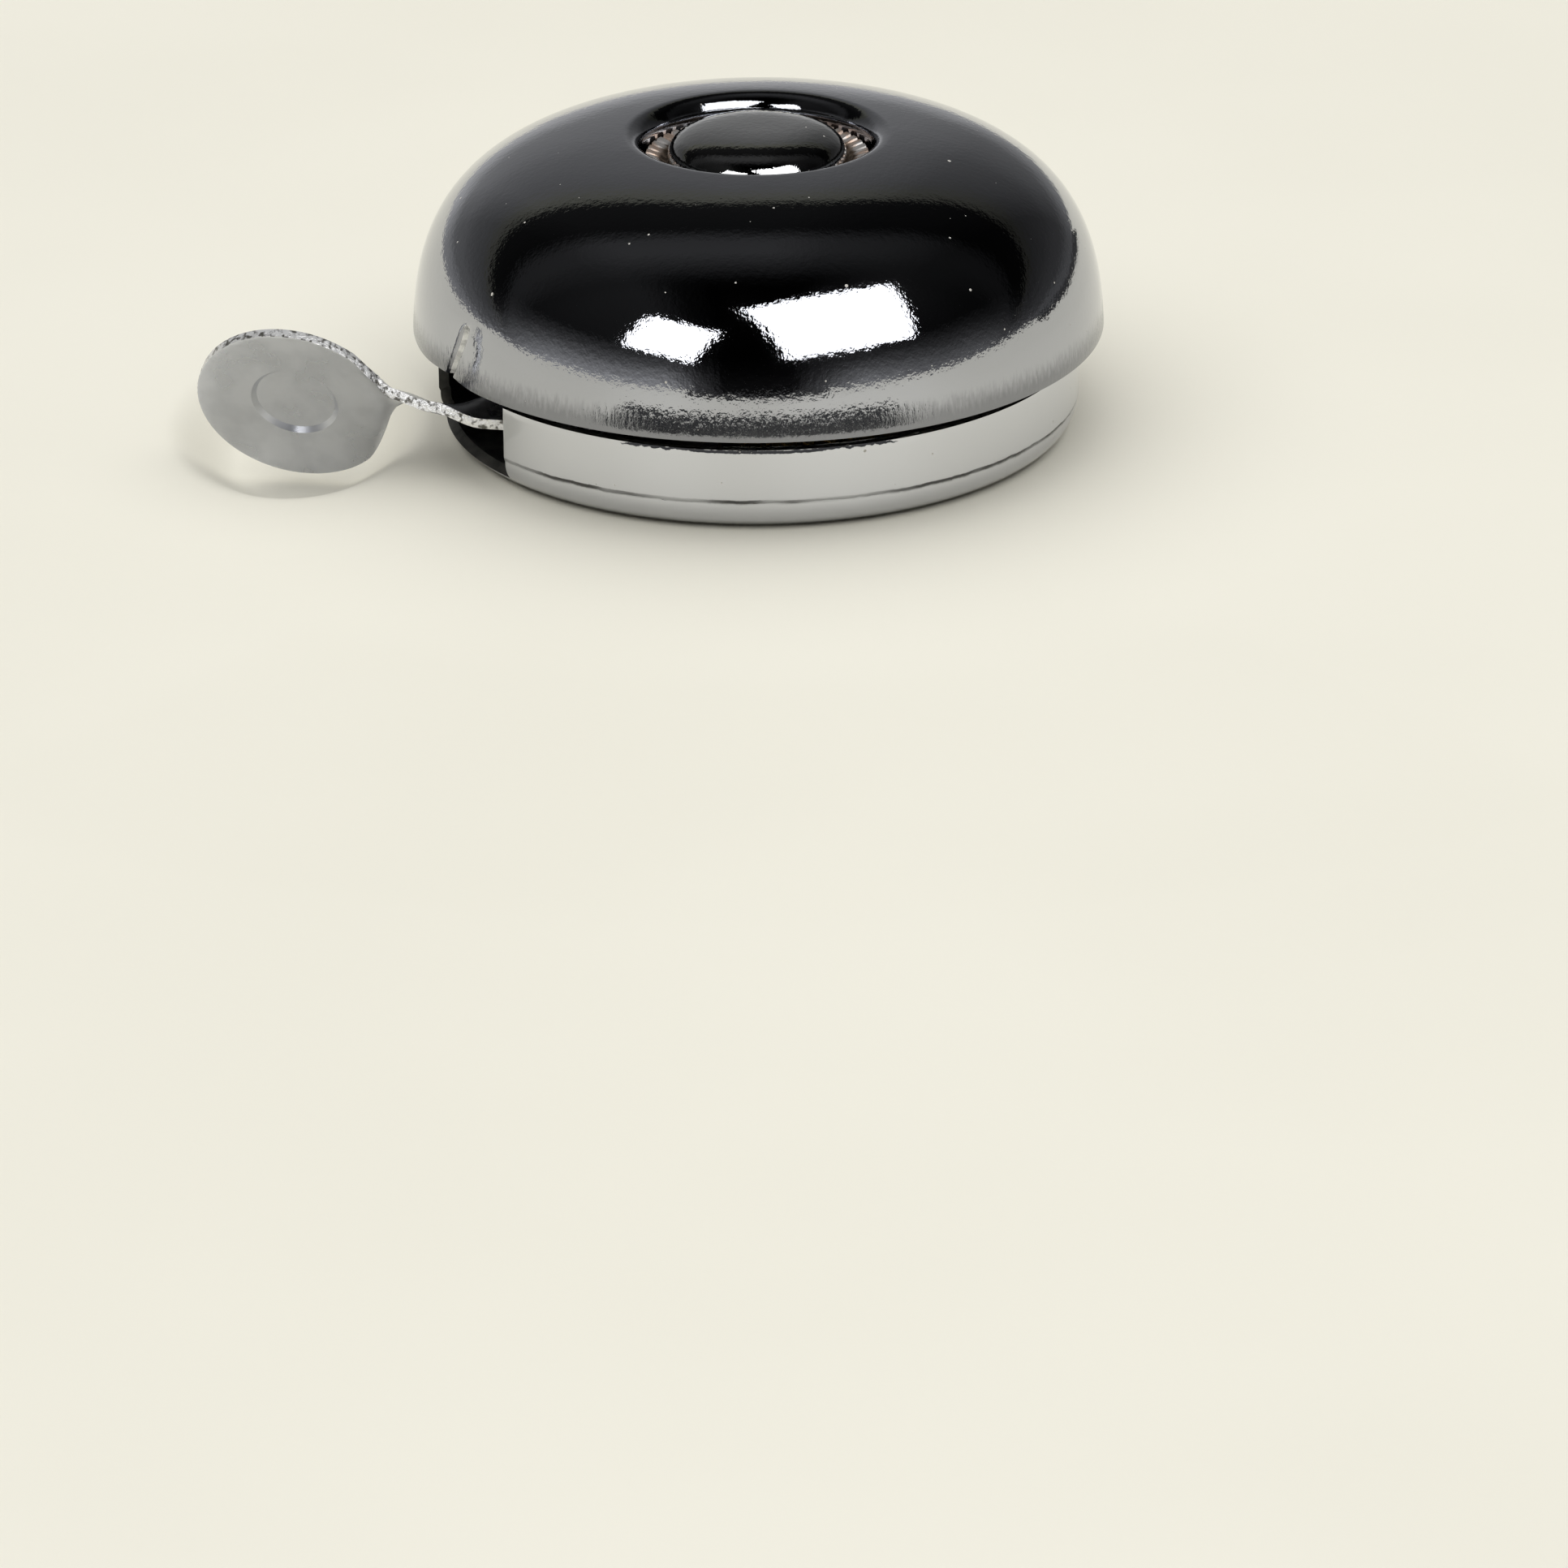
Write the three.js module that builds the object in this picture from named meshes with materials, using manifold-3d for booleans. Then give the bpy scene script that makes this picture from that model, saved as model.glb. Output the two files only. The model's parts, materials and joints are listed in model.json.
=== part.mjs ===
// A bicycle bell of the rotary thumb-lever kind, with its handlebar clamp.
// Millimetres, +Z up. The origin lies on the handlebar's axis, straight below the bell's own axis.
// +X runs along the handlebar, away from the thumb lever, and the rider sits on the -Y side.
//
// How it works: the thumb pushes the lever's pad towards +Y. The lever's toothed sector turns the idler,
// the idler's large gear turns the rotor round the centre post, and the two loose hammers on the rotor
// fly out and strike the two dents in the dome's skirt. A coil spring brings the lever back.

import * as THREE from 'three';
import { mergeVertices } from 'three/addons/utils/BufferGeometryUtils.js';
import Module from 'manifold-3d';

// ---------------------------------------------------------------- driving dimensions

const SHEET = 0.9; // thickness of the pressed steel of the base cup and the lever
const SLIP = 0.15; // clearance of one piece that turns on another, and of stacked pieces
const SEAT = 0.1; // gap left under a piece that sits on another

// Handlebar and clamp
const BAR_RADIUS = 11.1; // a 22.2 mm handlebar
const BAND = { inner: BAR_RADIUS + 0.2, thick: 1.2, width: 14, flatHalf: 8.5, earGap: 2.4, earLength: 7.2 };
const BASE_Z = BAND.inner + BAND.thick + 0.3; // underside of the base cup above the bar's axis
const SCREW = { shank: 2.0, head: 3.9, headHeight: 2.5, length: 11.5, slot: 1.0 };
const NUT = { acrossFlats: 7, thick: 3.2 };
const CLAMP_WASHER = { inner: 2.2, outer: 4.4, thick: 0.8 };
const RIVET = { y: 5.6, shank: 1.3, head: 1.85, headHeight: 0.6 };

// Everything below is measured up from the underside of the base cup, and out from the bell's axis.
const CUP = { radius: 28.05, height: 7.5, bend: 2.4 };
const WINDOW = { from: 181, to: 217, sill: 1.7 }; // azimuths of the lever's window, in degrees
const DOME = { radius: 30.2, centreZ: 4.0, crown: 26.4, power: 3.3, rim: 9.0, thick: 1.0 };
const RECESS = { wall: 9.95, lip: 1.6, corner: 0.5, floor: 22.6 };
const DENT = { azimuth: 208, depth: 1.6, top: 14.4, fade: 2.2 }; // the second dent is opposite
const POST = {
  spigot: 1.8, flange: 3.3, flangeTop: 1.9, body: 2.6, shaft: 1.8, shoulder: 5.6, top: 24.9, chamfer: 0.4,
};
const SERRATED = { rimIn: 8.35, rimOut: 9.65, top: 24.15, teeth: 52, toothDepth: 0.5, floorThick: 0.4 };
const CAP = { radius: 7.8, bottom: 23.4, shoulder: 23.5, crown: 26.7, power: 3.0 };

// Thumb lever: a flat plate inside, and a strip that leaves through the window and twists into the pad
const LEVER = {
  pivot: [-12.5, -8.5],
  middleZ: 5.2,
  heading: 168.5, // azimuth that the strip points in
  stripHalf: 2.9,
  stripStart: [-22.4, -12.64], // a point on the strip's centre line, just inside the window
  twistFrom: 0.8,
  twists: [ // [from, to, degrees]: a gentle twist along the strip, then a sharp one at the pad
    [0.8, 5.3, 24],
    [8.6, 12.2, 40.5],
  ],
  lift: { from: 5.4, full: 9.2, down: 9.4, to: 12.0, height: 1.0 }, // low arch of the strip before the pad
  padCentre: 18.0, // along the strip from stripStart
  padRadius: 8.5,
  bossRadius: 3.6,
  bossSink: 0.5, // how deep the boss is pressed into the pad's visible side, which is the strip's underside
};
const LEVER_PIN = {
  spigot: 1.2, collar: 2.2, shaft: 1.6, shaftTop: 6.15, head: 2.4, headChamfer: 0.6, top: 6.8, chamfer: 0.3,
};
const LEVER_WASHER = { outer: 3.2, low: 5.75, high: 6.05 };
const LUG = { x: -5.3, y: -3.95, size: 1.0, depth: 1.1 }; // on the plate, for the spring's upper leg
const LEVER_TRAVEL = 24; // degrees of swing, used here only to size the toothed sector

// Gears: the lever's sector turns the idler's pinion, the idler's gear turns the rotor's pinion
const SECTOR = { module: 0.8, teeth: 30 };
const IDLER_PINION = { module: 0.8, teeth: 10 };
const IDLER_GEAR = { module: 0.6, teeth: 36 };
const ROTOR_PINION = { module: 0.6, teeth: 12 };
const IDLER_AXIS = [2.454, -14.189]; // 16 mm from the lever's pivot and 14.4 mm from the bell's axis
const IDLER_PIN = { spigot: 1.2, collar: 2.4, shaft: 1.4, shoulder: 4.35, top: 7.55 };
const IDLER = { pinion: [4.5, 6.0], hub: [5.8, 7.05], gear: [6.2, 7.0], hubRadius: 2.4 };
const IDLER_CLIP = { outer: 2.6, low: 7.15, high: 7.4, gap: 60 };

// Rotor and hammers
const ROTOR_REST = -68; // azimuth of hammer 1 at rest, in degrees
const ROTOR = { z: 7.8, thick: 1.0, width: 8.4, endRound: 3.2, pinRadius: 19.3, hub: 2.75, hubTop: 9.2 };
const HAMMER = { radius: 6.5, hole: 2.9, thick: 3.0, chamfer: 0.5, lift: 0.4 };
const HAMMER_PIN = { spigot: 1.1, shaft: 1.5, head: 3.4, headThick: 0.7, spare: 0.5 };

// Pieces stacked on the centre post between the rotor and the dome: outer radius, lowest and highest z
const THRUST_WASHER = [3.4, POST.shoulder + SEAT, POST.shoulder + 0.35];
const KEEPER_WASHER = [3.4, 9.35, 9.65];
const DOME_SLEEVE = [3.0, 9.75, 20.95];
const DOME_WASHER = [5.0, 21.05, 21.5];

// ---------------------------------------------------------------- materials

const surface = (color, roughness, metalness) =>
  new THREE.MeshStandardMaterial({ color, roughness, metalness });
const CHROME = () => surface(0xc4c5c8, 0.1, 1);
const ZINC = () => surface(0xa6a8aa, 0.35, 1);
const BRASS = () => surface(0xb5954f, 0.3, 1);
const DARK_STEEL = () => surface(0x5f6062, 0.4, 1);
const TARNISHED = () => surface(0x8b7562, 0.45, 1);

// ---------------------------------------------------------------- shape helpers

const wasm = await Module();
wasm.setup();

const radians = THREE.MathUtils.degToRad;
const polar = (radius, azimuth) => [radius * Math.cos(azimuth), radius * Math.sin(azimuth)];

// Makes one closed body whose faces point outwards, with shared corners merged.
function closed(geometry) {
  geometry.deleteAttribute('normal');
  geometry.deleteAttribute('uv');
  const merged = mergeVertices(geometry, 1e-4);
  const corners = Array.from(merged.index.array);
  const kept = [];
  for (let i = 0; i < corners.length; i += 3) {
    const [a, b, c] = corners.slice(i, i + 3);
    if (a !== b && b !== c && c !== a) kept.push(a, b, c);
  }
  merged.setIndex(kept);
  if (volume(merged) < 0) {
    for (let i = 0; i < kept.length; i += 3) [kept[i], kept[i + 1]] = [kept[i + 1], kept[i]];
    merged.setIndex(kept);
  }
  return merged;
}

function volume(geometry) {
  const place = geometry.attributes.position;
  const index = geometry.index.array;
  const [a, b, c] = [new THREE.Vector3(), new THREE.Vector3(), new THREE.Vector3()];
  let sum = 0;
  for (let i = 0; i < index.length; i += 3) {
    a.fromBufferAttribute(place, index[i]);
    b.fromBufferAttribute(place, index[i + 1]);
    c.fromBufferAttribute(place, index[i + 2]);
    sum += a.dot(b.cross(c));
  }
  return sum / 6;
}

function toSolid(geometry) {
  const body = closed(geometry);
  const mesh = new wasm.Mesh({
    numProp: 3,
    vertProperties: new Float32Array(body.attributes.position.array),
    triVerts: new Uint32Array(body.index.array),
  });
  return new wasm.Manifold(mesh);
}

function fromSolid(solid) {
  const mesh = solid.getMesh();
  const geometry = new THREE.BufferGeometry();
  geometry.setAttribute('position', new THREE.BufferAttribute(mesh.vertProperties, 3));
  geometry.setIndex(Array.from(mesh.triVerts));
  return geometry;
}

const join = (...pieces) => fromSolid(pieces.map(toSolid).reduce((a, b) => a.add(b)));
const cut = (piece, ...tools) => fromSolid(tools.reduce((a, b) => a.subtract(toSolid(b)), toSolid(piece)));
const common = (a, b) => fromSolid(toSolid(a).intersect(toSolid(b)));

// A solid of revolution round +Z from [radius, z] points that start and end on the axis or close up.
function turned(profile, segments = 24, startAzimuth = 0) {
  const points = profile.map(([radius, z]) => new THREE.Vector2(radius, z));
  const geometry = new THREE.LatheGeometry(points, segments, radians(startAzimuth + 90));
  return geometry.rotateX(Math.PI / 2);
}

// A tube or washer: inner and outer radius between two heights.
function tube(inner, outer, low, high, segments = 24) {
  const profile = [[inner, low], [outer, low], [outer, high], [inner, high], [inner, low]];
  return turned(profile, segments);
}

function plug(radius, low, high, segments = 20) {
  return turned([[0, low], [radius, low], [radius, high], [0, high]], segments);
}

// A cutter for a hole right through a piece that the hole's axis meets once.
const THROUGH = 50;
const drill = (radius, segments = 20) => plug(radius, -THROUGH, THROUGH, segments);

// A flat outline of [x, y] points, raised between two heights.
function raised(outline, low, high) {
  const shape = new THREE.Shape(outline.map(([x, y]) => new THREE.Vector2(x, y)));
  const geometry = new THREE.ExtrudeGeometry(shape, { depth: high - low, bevelEnabled: false });
  return geometry.translate(0, 0, low);
}

function ringOfPoints(radius, sides, centre = [0, 0], from = 0, to = 2 * Math.PI, closes = true) {
  const steps = closes ? sides : sides - 1;
  return Array.from({ length: sides }, (_, i) => {
    const [x, y] = polar(radius, from + ((to - from) * i) / steps);
    return [centre[0] + x, centre[1] + y];
  });
}

function mesh(name, geometry, material, parent) {
  const piece = new THREE.Mesh(closed(geometry), material);
  piece.name = name;
  parent.add(piece);
  return piece;
}

function groupAt(parent, x, y, z) {
  const group = new THREE.Group();
  group.position.set(x, y, z);
  parent.add(group);
  return group;
}

// ---------------------------------------------------------------- gear teeth

const PRESSURE_ANGLE = radians(25);
const ADDENDUM = 0.85; // in modules
const DEDENDUM = 1.15;
const BACKLASH = 0.16; // of the module, taken off each tooth at the pitch circle

const pitchRadius = ({ module, teeth }) => (module * teeth) / 2;
const involute = (angle) => Math.tan(angle) - angle;

// The outline points of teeth centred on the given azimuths, with involute flanks in two steps.
function toothPoints(gear, azimuths) {
  const pitch = pitchRadius(gear);
  const base = pitch * Math.cos(PRESSURE_ANGLE);
  const root = pitch - DEDENDUM * gear.module;
  const tip = pitch + ADDENDUM * gear.module;
  const halfAtPitch = Math.PI / (2 * gear.teeth) - (BACKLASH * gear.module) / (2 * pitch);
  const half = (radius) => {
    const pressure = Math.acos(Math.min(1, base / radius));
    return halfAtPitch + involute(PRESSURE_ANGLE) - involute(pressure);
  };
  const start = Math.max(base, root + 0.05 * gear.module);
  const radii = [start, pitch, tip];
  const footHalf = half(start) * 1.04;
  const points = [];
  for (const azimuth of azimuths) {
    points.push(polar(root, azimuth - footHalf));
    for (const radius of radii) points.push(polar(radius, azimuth - half(radius)));
    for (const radius of [...radii].reverse()) points.push(polar(radius, azimuth + half(radius)));
    points.push(polar(root, azimuth + footHalf));
  }
  return points;
}

function gearOutline(gear, firstTooth) {
  const step = (2 * Math.PI) / gear.teeth;
  return toothPoints(gear, Array.from({ length: gear.teeth }, (_, k) => firstTooth + k * step));
}

// ---------------------------------------------------------------- base cup and centre post

function baseCup() {
  const inner = CUP.radius - SHEET;
  const bendCentre = [CUP.radius - CUP.bend, CUP.bend];
  const bend = (radius, steps, backwards) => {
    const points = ringOfPoints(radius, steps, bendCentre, -Math.PI / 2, 0, false);
    return backwards ? points.reverse() : points;
  };
  const profile = [
    [0, 0],
    ...bend(CUP.bend, 5, false),
    [CUP.radius, CUP.height],
    [inner, CUP.height],
    ...bend(CUP.bend - SHEET, 4, true),
    [0, SHEET],
  ];
  const arc = (radius) => ringOfPoints(radius, 9, [0, 0], radians(WINDOW.from), radians(WINDOW.to), false);
  const window = raised([...arc(CUP.radius + 2), ...arc(inner - 3).reverse()], WINDOW.sill, CUP.height + 1);
  const hole = (radius, [x, y]) => drill(radius + SLIP).translate(x, y, 0);
  return cut(
    turned(profile, 48),
    window,
    hole(POST.spigot, [0, 0]),
    hole(LEVER_PIN.spigot, LEVER.pivot),
    hole(IDLER_PIN.spigot, IDLER_AXIS),
    hole(ANCHOR_RADIUS, ANCHOR),
    hole(RIVET.shank, [0, RIVET.y]),
    hole(RIVET.shank, [0, -RIVET.y]),
  );
}

function centrePost() {
  return turned([
    [0, SEAT / 2],
    [POST.spigot, SEAT / 2],
    [POST.spigot, SHEET + SEAT],
    [POST.flange, SHEET + SEAT],
    [POST.flange, POST.flangeTop],
    [POST.body, POST.flangeTop],
    [POST.body, POST.shoulder],
    [POST.shaft, POST.shoulder],
    [POST.shaft, POST.top - POST.chamfer],
    [POST.shaft - POST.chamfer, POST.top],
    [0, POST.top],
  ], 24);
}

// ---------------------------------------------------------------- dome and what holds it

// Half of the dome's section, sunk inwards by `inset` from its outer face. The outside is a rounded
// square curve, and a rolled lip leads down into the recess that holds the cap nut.
function domeLine(inset) {
  const reach = DOME.radius - inset;
  const rise = DOME.crown - inset - DOME.centreZ;
  const lipCentre = RECESS.wall + RECESS.lip;
  const points = [];
  for (const z of [DOME.rim, DENT.top - DENT.fade, DENT.top]) {
    points.push([reach * (1 - ((z - DOME.centreZ) / rise) ** DOME.power) ** (1 / DOME.power), z]);
  }
  for (const t of [24, 32, 41, 51, 61, 70]) {
    const [c, s] = polar(1, radians(t));
    points.push([reach * c ** (2 / DOME.power), DOME.centreZ + rise * s ** (2 / DOME.power)]);
  }
  const lip = RECESS.lip - inset;
  const lipZ = DOME.crown - RECESS.lip;
  for (const t of [90, 135, 180]) {
    const [c, s] = polar(lip, radians(t));
    points.push([lipCentre + c, lipZ + s]);
  }
  const corner = RECESS.corner + inset;
  const cornerCentre = [RECESS.wall - RECESS.corner, RECESS.floor + RECESS.corner];
  for (const t of [0, -90]) {
    const [c, s] = polar(corner, radians(t));
    points.push([cornerCentre[0] + c, cornerCentre[1] + s]);
  }
  return points;
}

// The dome: outer and inner section lines, turned, then creased inwards at the two dents.
function dome() {
  const segments = 48;
  const outer = domeLine(0);
  const inner = domeLine(DOME.thick);
  const bore = POST.shaft + SLIP;
  const floorEnds = [[bore, RECESS.floor], [bore, RECESS.floor - DOME.thick]];
  const profile = [...outer, ...floorEnds, ...inner.reverse(), outer[0]];
  const geometry = turned(profile, segments, DENT.azimuth % (360 / segments));
  const place = geometry.attributes.position;
  const creases = [radians(DENT.azimuth), radians(DENT.azimuth + 180)];
  for (let i = 0; i < place.count; i++) {
    const [x, y, z] = [place.getX(i), place.getY(i), place.getZ(i)];
    const azimuth = Math.atan2(y, x);
    const onCrease = creases.some((c) => Math.cos(azimuth - c) > 0.9999);
    if (onCrease && z < DENT.top - DENT.fade / 2) {
      const radius = Math.hypot(x, y);
      const [sunkX, sunkY] = polar(radius - DENT.depth, azimuth);
      place.setXYZ(i, sunkX, sunkY, z);
    }
  }
  return geometry;
}

// A cup washer in the recess, with an upturned rim that has radial teeth on its top.
function serratedWasher() {
  const { rimIn, rimOut, top, teeth, toothDepth, floorThick } = SERRATED;
  const bottom = RECESS.floor + 3 * SEAT;
  const bore = POST.shaft + SLIP;
  const profile = [
    [bore, bottom], [rimOut, bottom], [rimOut, top], [rimIn, top],
    [rimIn, bottom + floorThick], [bore, bottom + floorThick], [bore, bottom],
  ];
  const geometry = turned(profile, teeth * 2);
  const place = geometry.attributes.position;
  for (let i = 0; i < place.count; i++) {
    const turn = Math.atan2(place.getY(i), place.getX(i)) / Math.PI;
    const inValley = Math.round(turn * teeth) % 2 !== 0;
    if (place.getZ(i) > top - toothDepth && inValley) place.setZ(i, top - toothDepth);
  }
  return geometry;
}

// The domed nut in the middle of the recess, blind threaded on the post.
function capNut() {
  const { radius, bottom, shoulder, crown, power } = CAP;
  const bore = POST.shaft + 2 * SEAT;
  const boreTop = POST.top + 2 * SEAT;
  const curve = [0, 15, 30, 44, 58, 72].map((t) => {
    const [c, s] = polar(1, radians(t));
    return [radius * c ** (2 / power), shoulder + (crown - shoulder) * s ** (2 / power)];
  });
  return turned([
    [bore, bottom],
    [radius, bottom],
    ...curve,
    [0, crown],
    [0, boreTop],
    [bore, boreTop],
    [bore, bottom],
  ], 40);
}

// ---------------------------------------------------------------- thumb lever

const leverHeading = polar(1, radians(LEVER.heading));
const leverSide = [leverHeading[1], -leverHeading[0]]; // horizontal, towards the strip's rear edge
const fromPivot = ([x, y]) => [x - LEVER.pivot[0], y - LEVER.pivot[1]];

// A point at `along` the strip and `across` it towards its rear edge, seen from above.
function onStrip(along, across) {
  return fromPivot([
    LEVER.stripStart[0] + along * leverHeading[0] + across * leverSide[0],
    LEVER.stripStart[1] + along * leverHeading[1] + across * leverSide[1],
  ]);
}

const towardsIdler = Math.atan2(IDLER_AXIS[1] - LEVER.pivot[1], IDLER_AXIS[0] - LEVER.pivot[0]);

function leverPlate() {
  const step = (2 * Math.PI) / SECTOR.teeth;
  const spare = 1;
  const count = Math.round(radians(LEVER_TRAVEL) / step) + 1 + 2 * spare;
  const azimuths = Array.from({ length: count }, (_, k) => towardsIdler + (k - spare) * step);
  const root = pitchRadius(SECTOR) - DEDENDUM * SECTOR.module;
  const outline = [
    polar(root, azimuths[0] - step / 2),
    ...toothPoints(SECTOR, azimuths),
    polar(root, azimuths[count - 1] + step / 2),
    ...ringOfPoints(4.2, 4, [0, 0], radians(75), radians(165), false),
    onStrip(-4, LEVER.stripHalf),
    onStrip(LEVER.twistFrom, LEVER.stripHalf),
    onStrip(LEVER.twistFrom, -LEVER.stripHalf),
    onStrip(-9, -LEVER.stripHalf),
    onStrip(-11.5, -LEVER.stripHalf + 1),
  ];
  return raised(outline, -SHEET / 2, SHEET / 2);
}

const smooth = (t) => t * t * (3 - 2 * t);
const clamp01 = (t) => Math.min(1, Math.max(0, t));

// Total twist in degrees, at `along` the strip.
function twistAt(along) {
  const shares = LEVER.twists.map(([from, to, turn]) => turn * smooth(clamp01((along - from) / (to - from))));
  return shares.reduce((sum, turn) => sum + turn, 0);
}

// How much the low arch lifts the strip, at `along` it.
function liftAt(along) {
  const { from, full, down, to, height } = LEVER.lift;
  const rise = smooth(clamp01((along - from) / (full - from)));
  return height * rise * (1 - smooth(clamp01((along - down) / (to - down))));
}

// Bends a flat piece, drawn as [along, across, up], into the twisted strip's frame.
function twistInto(geometry, fixedTwist) {
  const place = geometry.attributes.position;
  for (let i = 0; i < place.count; i++) {
    const [along, across, up] = [place.getX(i), place.getY(i), place.getZ(i)];
    const angle = radians(twistAt(fixedTwist ? LEVER.padCentre : along));
    const flat = across * Math.cos(angle) + up * Math.sin(angle);
    const lift = fixedTwist ? 0 : liftAt(along);
    const height = up * Math.cos(angle) - across * Math.sin(angle) + lift;
    const [x, y] = onStrip(along, flat);
    place.setXYZ(i, x, y, height);
  }
  return geometry;
}

// The strip starts inside the plate, a little slimmer than it, so that no two faces coincide.
function leverStrip() {
  const [from, to] = [LEVER.twistFrom - 2, LEVER.padCentre - LEVER.padRadius + 3];
  const slimmer = 0.06;
  const strip = new THREE.BoxGeometry(
    to - from, 2 * LEVER.stripHalf - slimmer, SHEET - slimmer, 14, 2, 1,
  );
  return twistInto(strip.translate((from + to) / 2, 0, 0), false);
}

// The thumb pad: a shallow dish with a round boss pressed into its visible side.
function leverPad() {
  const { padRadius: rim, bossRadius: boss, bossSink: sink } = LEVER;
  const dish = 0.25;
  const floor = dish + sink;
  const face = [[boss - 0.3, floor], [boss + 0.2, dish], [(boss + rim) / 2 + 0.4, 0.15], [rim, -0.35]];
  const back = face.map(([radius, up]) => [radius, up + SHEET]);
  const profile = [[0, floor], ...face, ...back.reverse(), [0, floor + SHEET]];
  const pad = turned(profile, 36).translate(LEVER.padCentre, 0, -SHEET / 2);
  return twistInto(pad, true);
}

// The plate carries a lug, bent down, that the return spring's upper leg pushes on.
function thumbLever() {
  const sunk = 0.2;
  const lug = new THREE.BoxGeometry(LUG.size, LUG.size, LUG.depth + sunk);
  lug.translate(LUG.x, LUG.y, (sunk - LUG.depth - SHEET) / 2);
  return cut(join(leverPlate(), leverStrip(), leverPad(), lug), drill(LEVER_PIN.shaft + SLIP));
}

function leverPivotPin() {
  const { spigot, collar, shaft, shaftTop, head, headChamfer, top, chamfer } = LEVER_PIN;
  const collarTop = LEVER.middleZ - SHEET / 2 - SLIP;
  return turned([
    [0, SEAT / 2],
    [spigot, SEAT / 2],
    [spigot, SHEET + SEAT],
    [collar, SHEET + SEAT],
    [collar, collarTop],
    [shaft, collarTop],
    [shaft, shaftTop],
    [head, shaftTop],
    [head, top - chamfer],
    [head - headChamfer, top],
    [0, top],
  ], 24);
}

function leverWasher() {
  return tube(LEVER_PIN.shaft + SLIP, LEVER_WASHER.outer, LEVER_WASHER.low, LEVER_WASHER.high);
}

// ---------------------------------------------------------------- lever return spring

const SPRING = { wire: 0.3, radius: 2.9, low: 1.5, high: 4.05, turns: 3.25, leg: 5.6 };
const ANCHOR_RADIUS = 0.8;
const ANCHOR = [
  LEVER.pivot[0] + SPRING.radius + SPRING.wire + ANCHOR_RADIUS + SLIP,
  LEVER.pivot[1] + SPRING.leg - ANCHOR_RADIUS + SEAT,
];

// Wound clockwise as it rises, so that pushing the pad winds it tighter.
function returnSpring() {
  const perTurn = 14;
  const steps = Math.round(SPRING.turns * perTurn);
  const points = [];
  for (const back of [1, 0.5]) {
    points.push(new THREE.Vector3(SPRING.radius, SPRING.leg * back, SPRING.low));
  }
  for (let i = 0; i <= steps; i++) {
    const [x, y] = polar(SPRING.radius, (-2 * Math.PI * i) / perTurn);
    points.push(new THREE.Vector3(x, y, SPRING.low + ((SPRING.high - SPRING.low) * i) / steps));
  }
  const last = points[points.length - 1];
  for (const out of [0.5, 1]) points.push(new THREE.Vector3(last.x - SPRING.leg * out, last.y, last.z));
  const path = new THREE.CatmullRomCurve3(points, false, 'centripetal');
  const section = new THREE.Shape(ringOfPoints(SPRING.wire, 6).map(([x, y]) => new THREE.Vector2(x, y)));
  return new THREE.ExtrudeGeometry(section, { steps: steps + 8, extrudePath: path, bevelEnabled: false });
}

function springAnchorPin() {
  return plug(ANCHOR_RADIUS, SEAT / 2, SPRING.low + 1.5, 16);
}

// ---------------------------------------------------------------- idler

function idlerPin() {
  const { spigot, collar, shaft, shoulder, top } = IDLER_PIN;
  return turned([
    [0, SEAT / 2],
    [spigot, SEAT / 2],
    [spigot, SHEET + SEAT],
    [collar, SHEET + SEAT],
    [collar, shoulder],
    [shaft, shoulder],
    [shaft, top],
    [0, top],
  ], 24);
}

function idlerPinion() {
  const firstTooth = towardsIdler + Math.PI + Math.PI / IDLER_PINION.teeth;
  const teeth = raised(gearOutline(IDLER_PINION, firstTooth), ...IDLER.pinion);
  const hub = plug(IDLER.hubRadius, ...IDLER.hub);
  return cut(join(teeth, hub), drill(IDLER_PIN.shaft + SLIP));
}

function idlerGear() {
  const towardsPost = Math.atan2(-IDLER_AXIS[1], -IDLER_AXIS[0]);
  const disc = raised(gearOutline(IDLER_GEAR, towardsPost), ...IDLER.gear);
  const [holeRadius, holeCircle] = [2.1, 6.3];
  const windows = [0, 1, 2, 3].map((k) => {
    const [x, y] = polar(holeCircle, towardsPost + Math.PI / 4 + (k * Math.PI) / 2);
    return drill(holeRadius, 16).translate(x, y, 0);
  });
  return cut(disc, drill(IDLER.hubRadius + SEAT), ...windows);
}

// A snap ring with a gap, as it sits in a groove.
function idlerClip() {
  const [from, to] = [radians(IDLER_CLIP.gap), 2 * Math.PI];
  const outer = ringOfPoints(IDLER_CLIP.outer, 16, [0, 0], from, to, false);
  const inner = ringOfPoints(IDLER_PIN.shaft + SLIP, 16, [0, 0], from, to, false).reverse();
  return raised([...outer, ...inner], IDLER_CLIP.low, IDLER_CLIP.high);
}

// ---------------------------------------------------------------- rotor and hammers

function rotorPinion(towardsIdlerGear) {
  const firstTooth = towardsIdlerGear + Math.PI / ROTOR_PINION.teeth;
  const [low, high] = [POST.shoulder + 0.45, ROTOR.z - 0.4];
  const teeth = raised(gearOutline(ROTOR_PINION, firstTooth), low, high);
  const hub = plug(ROTOR.hub, high - 0.2, ROTOR.hubTop);
  return cut(join(teeth, hub), drill(POST.shaft + SLIP));
}

function rotorBar() {
  const reach = ROTOR.pinRadius;
  const half = ROTOR.width / 2;
  const rightEnd = ringOfPoints(ROTOR.endRound, 9, [reach, 0], -Math.PI / 2, Math.PI / 2, false);
  const leftEnd = rightEnd.map(([x, y]) => [-x, -y]);
  const outline = [[-half, -half], [half, -half], ...rightEnd, [half, half], [-half, half], ...leftEnd];
  const bar = raised(outline, ROTOR.z, ROTOR.z + ROTOR.thick);
  const pinHole = (x) => drill(HAMMER_PIN.spigot + SEAT, 16).translate(x, 0, 0);
  return cut(bar, drill(ROTOR.hub + SEAT), pinHole(reach), pinHole(-reach));
}

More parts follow.
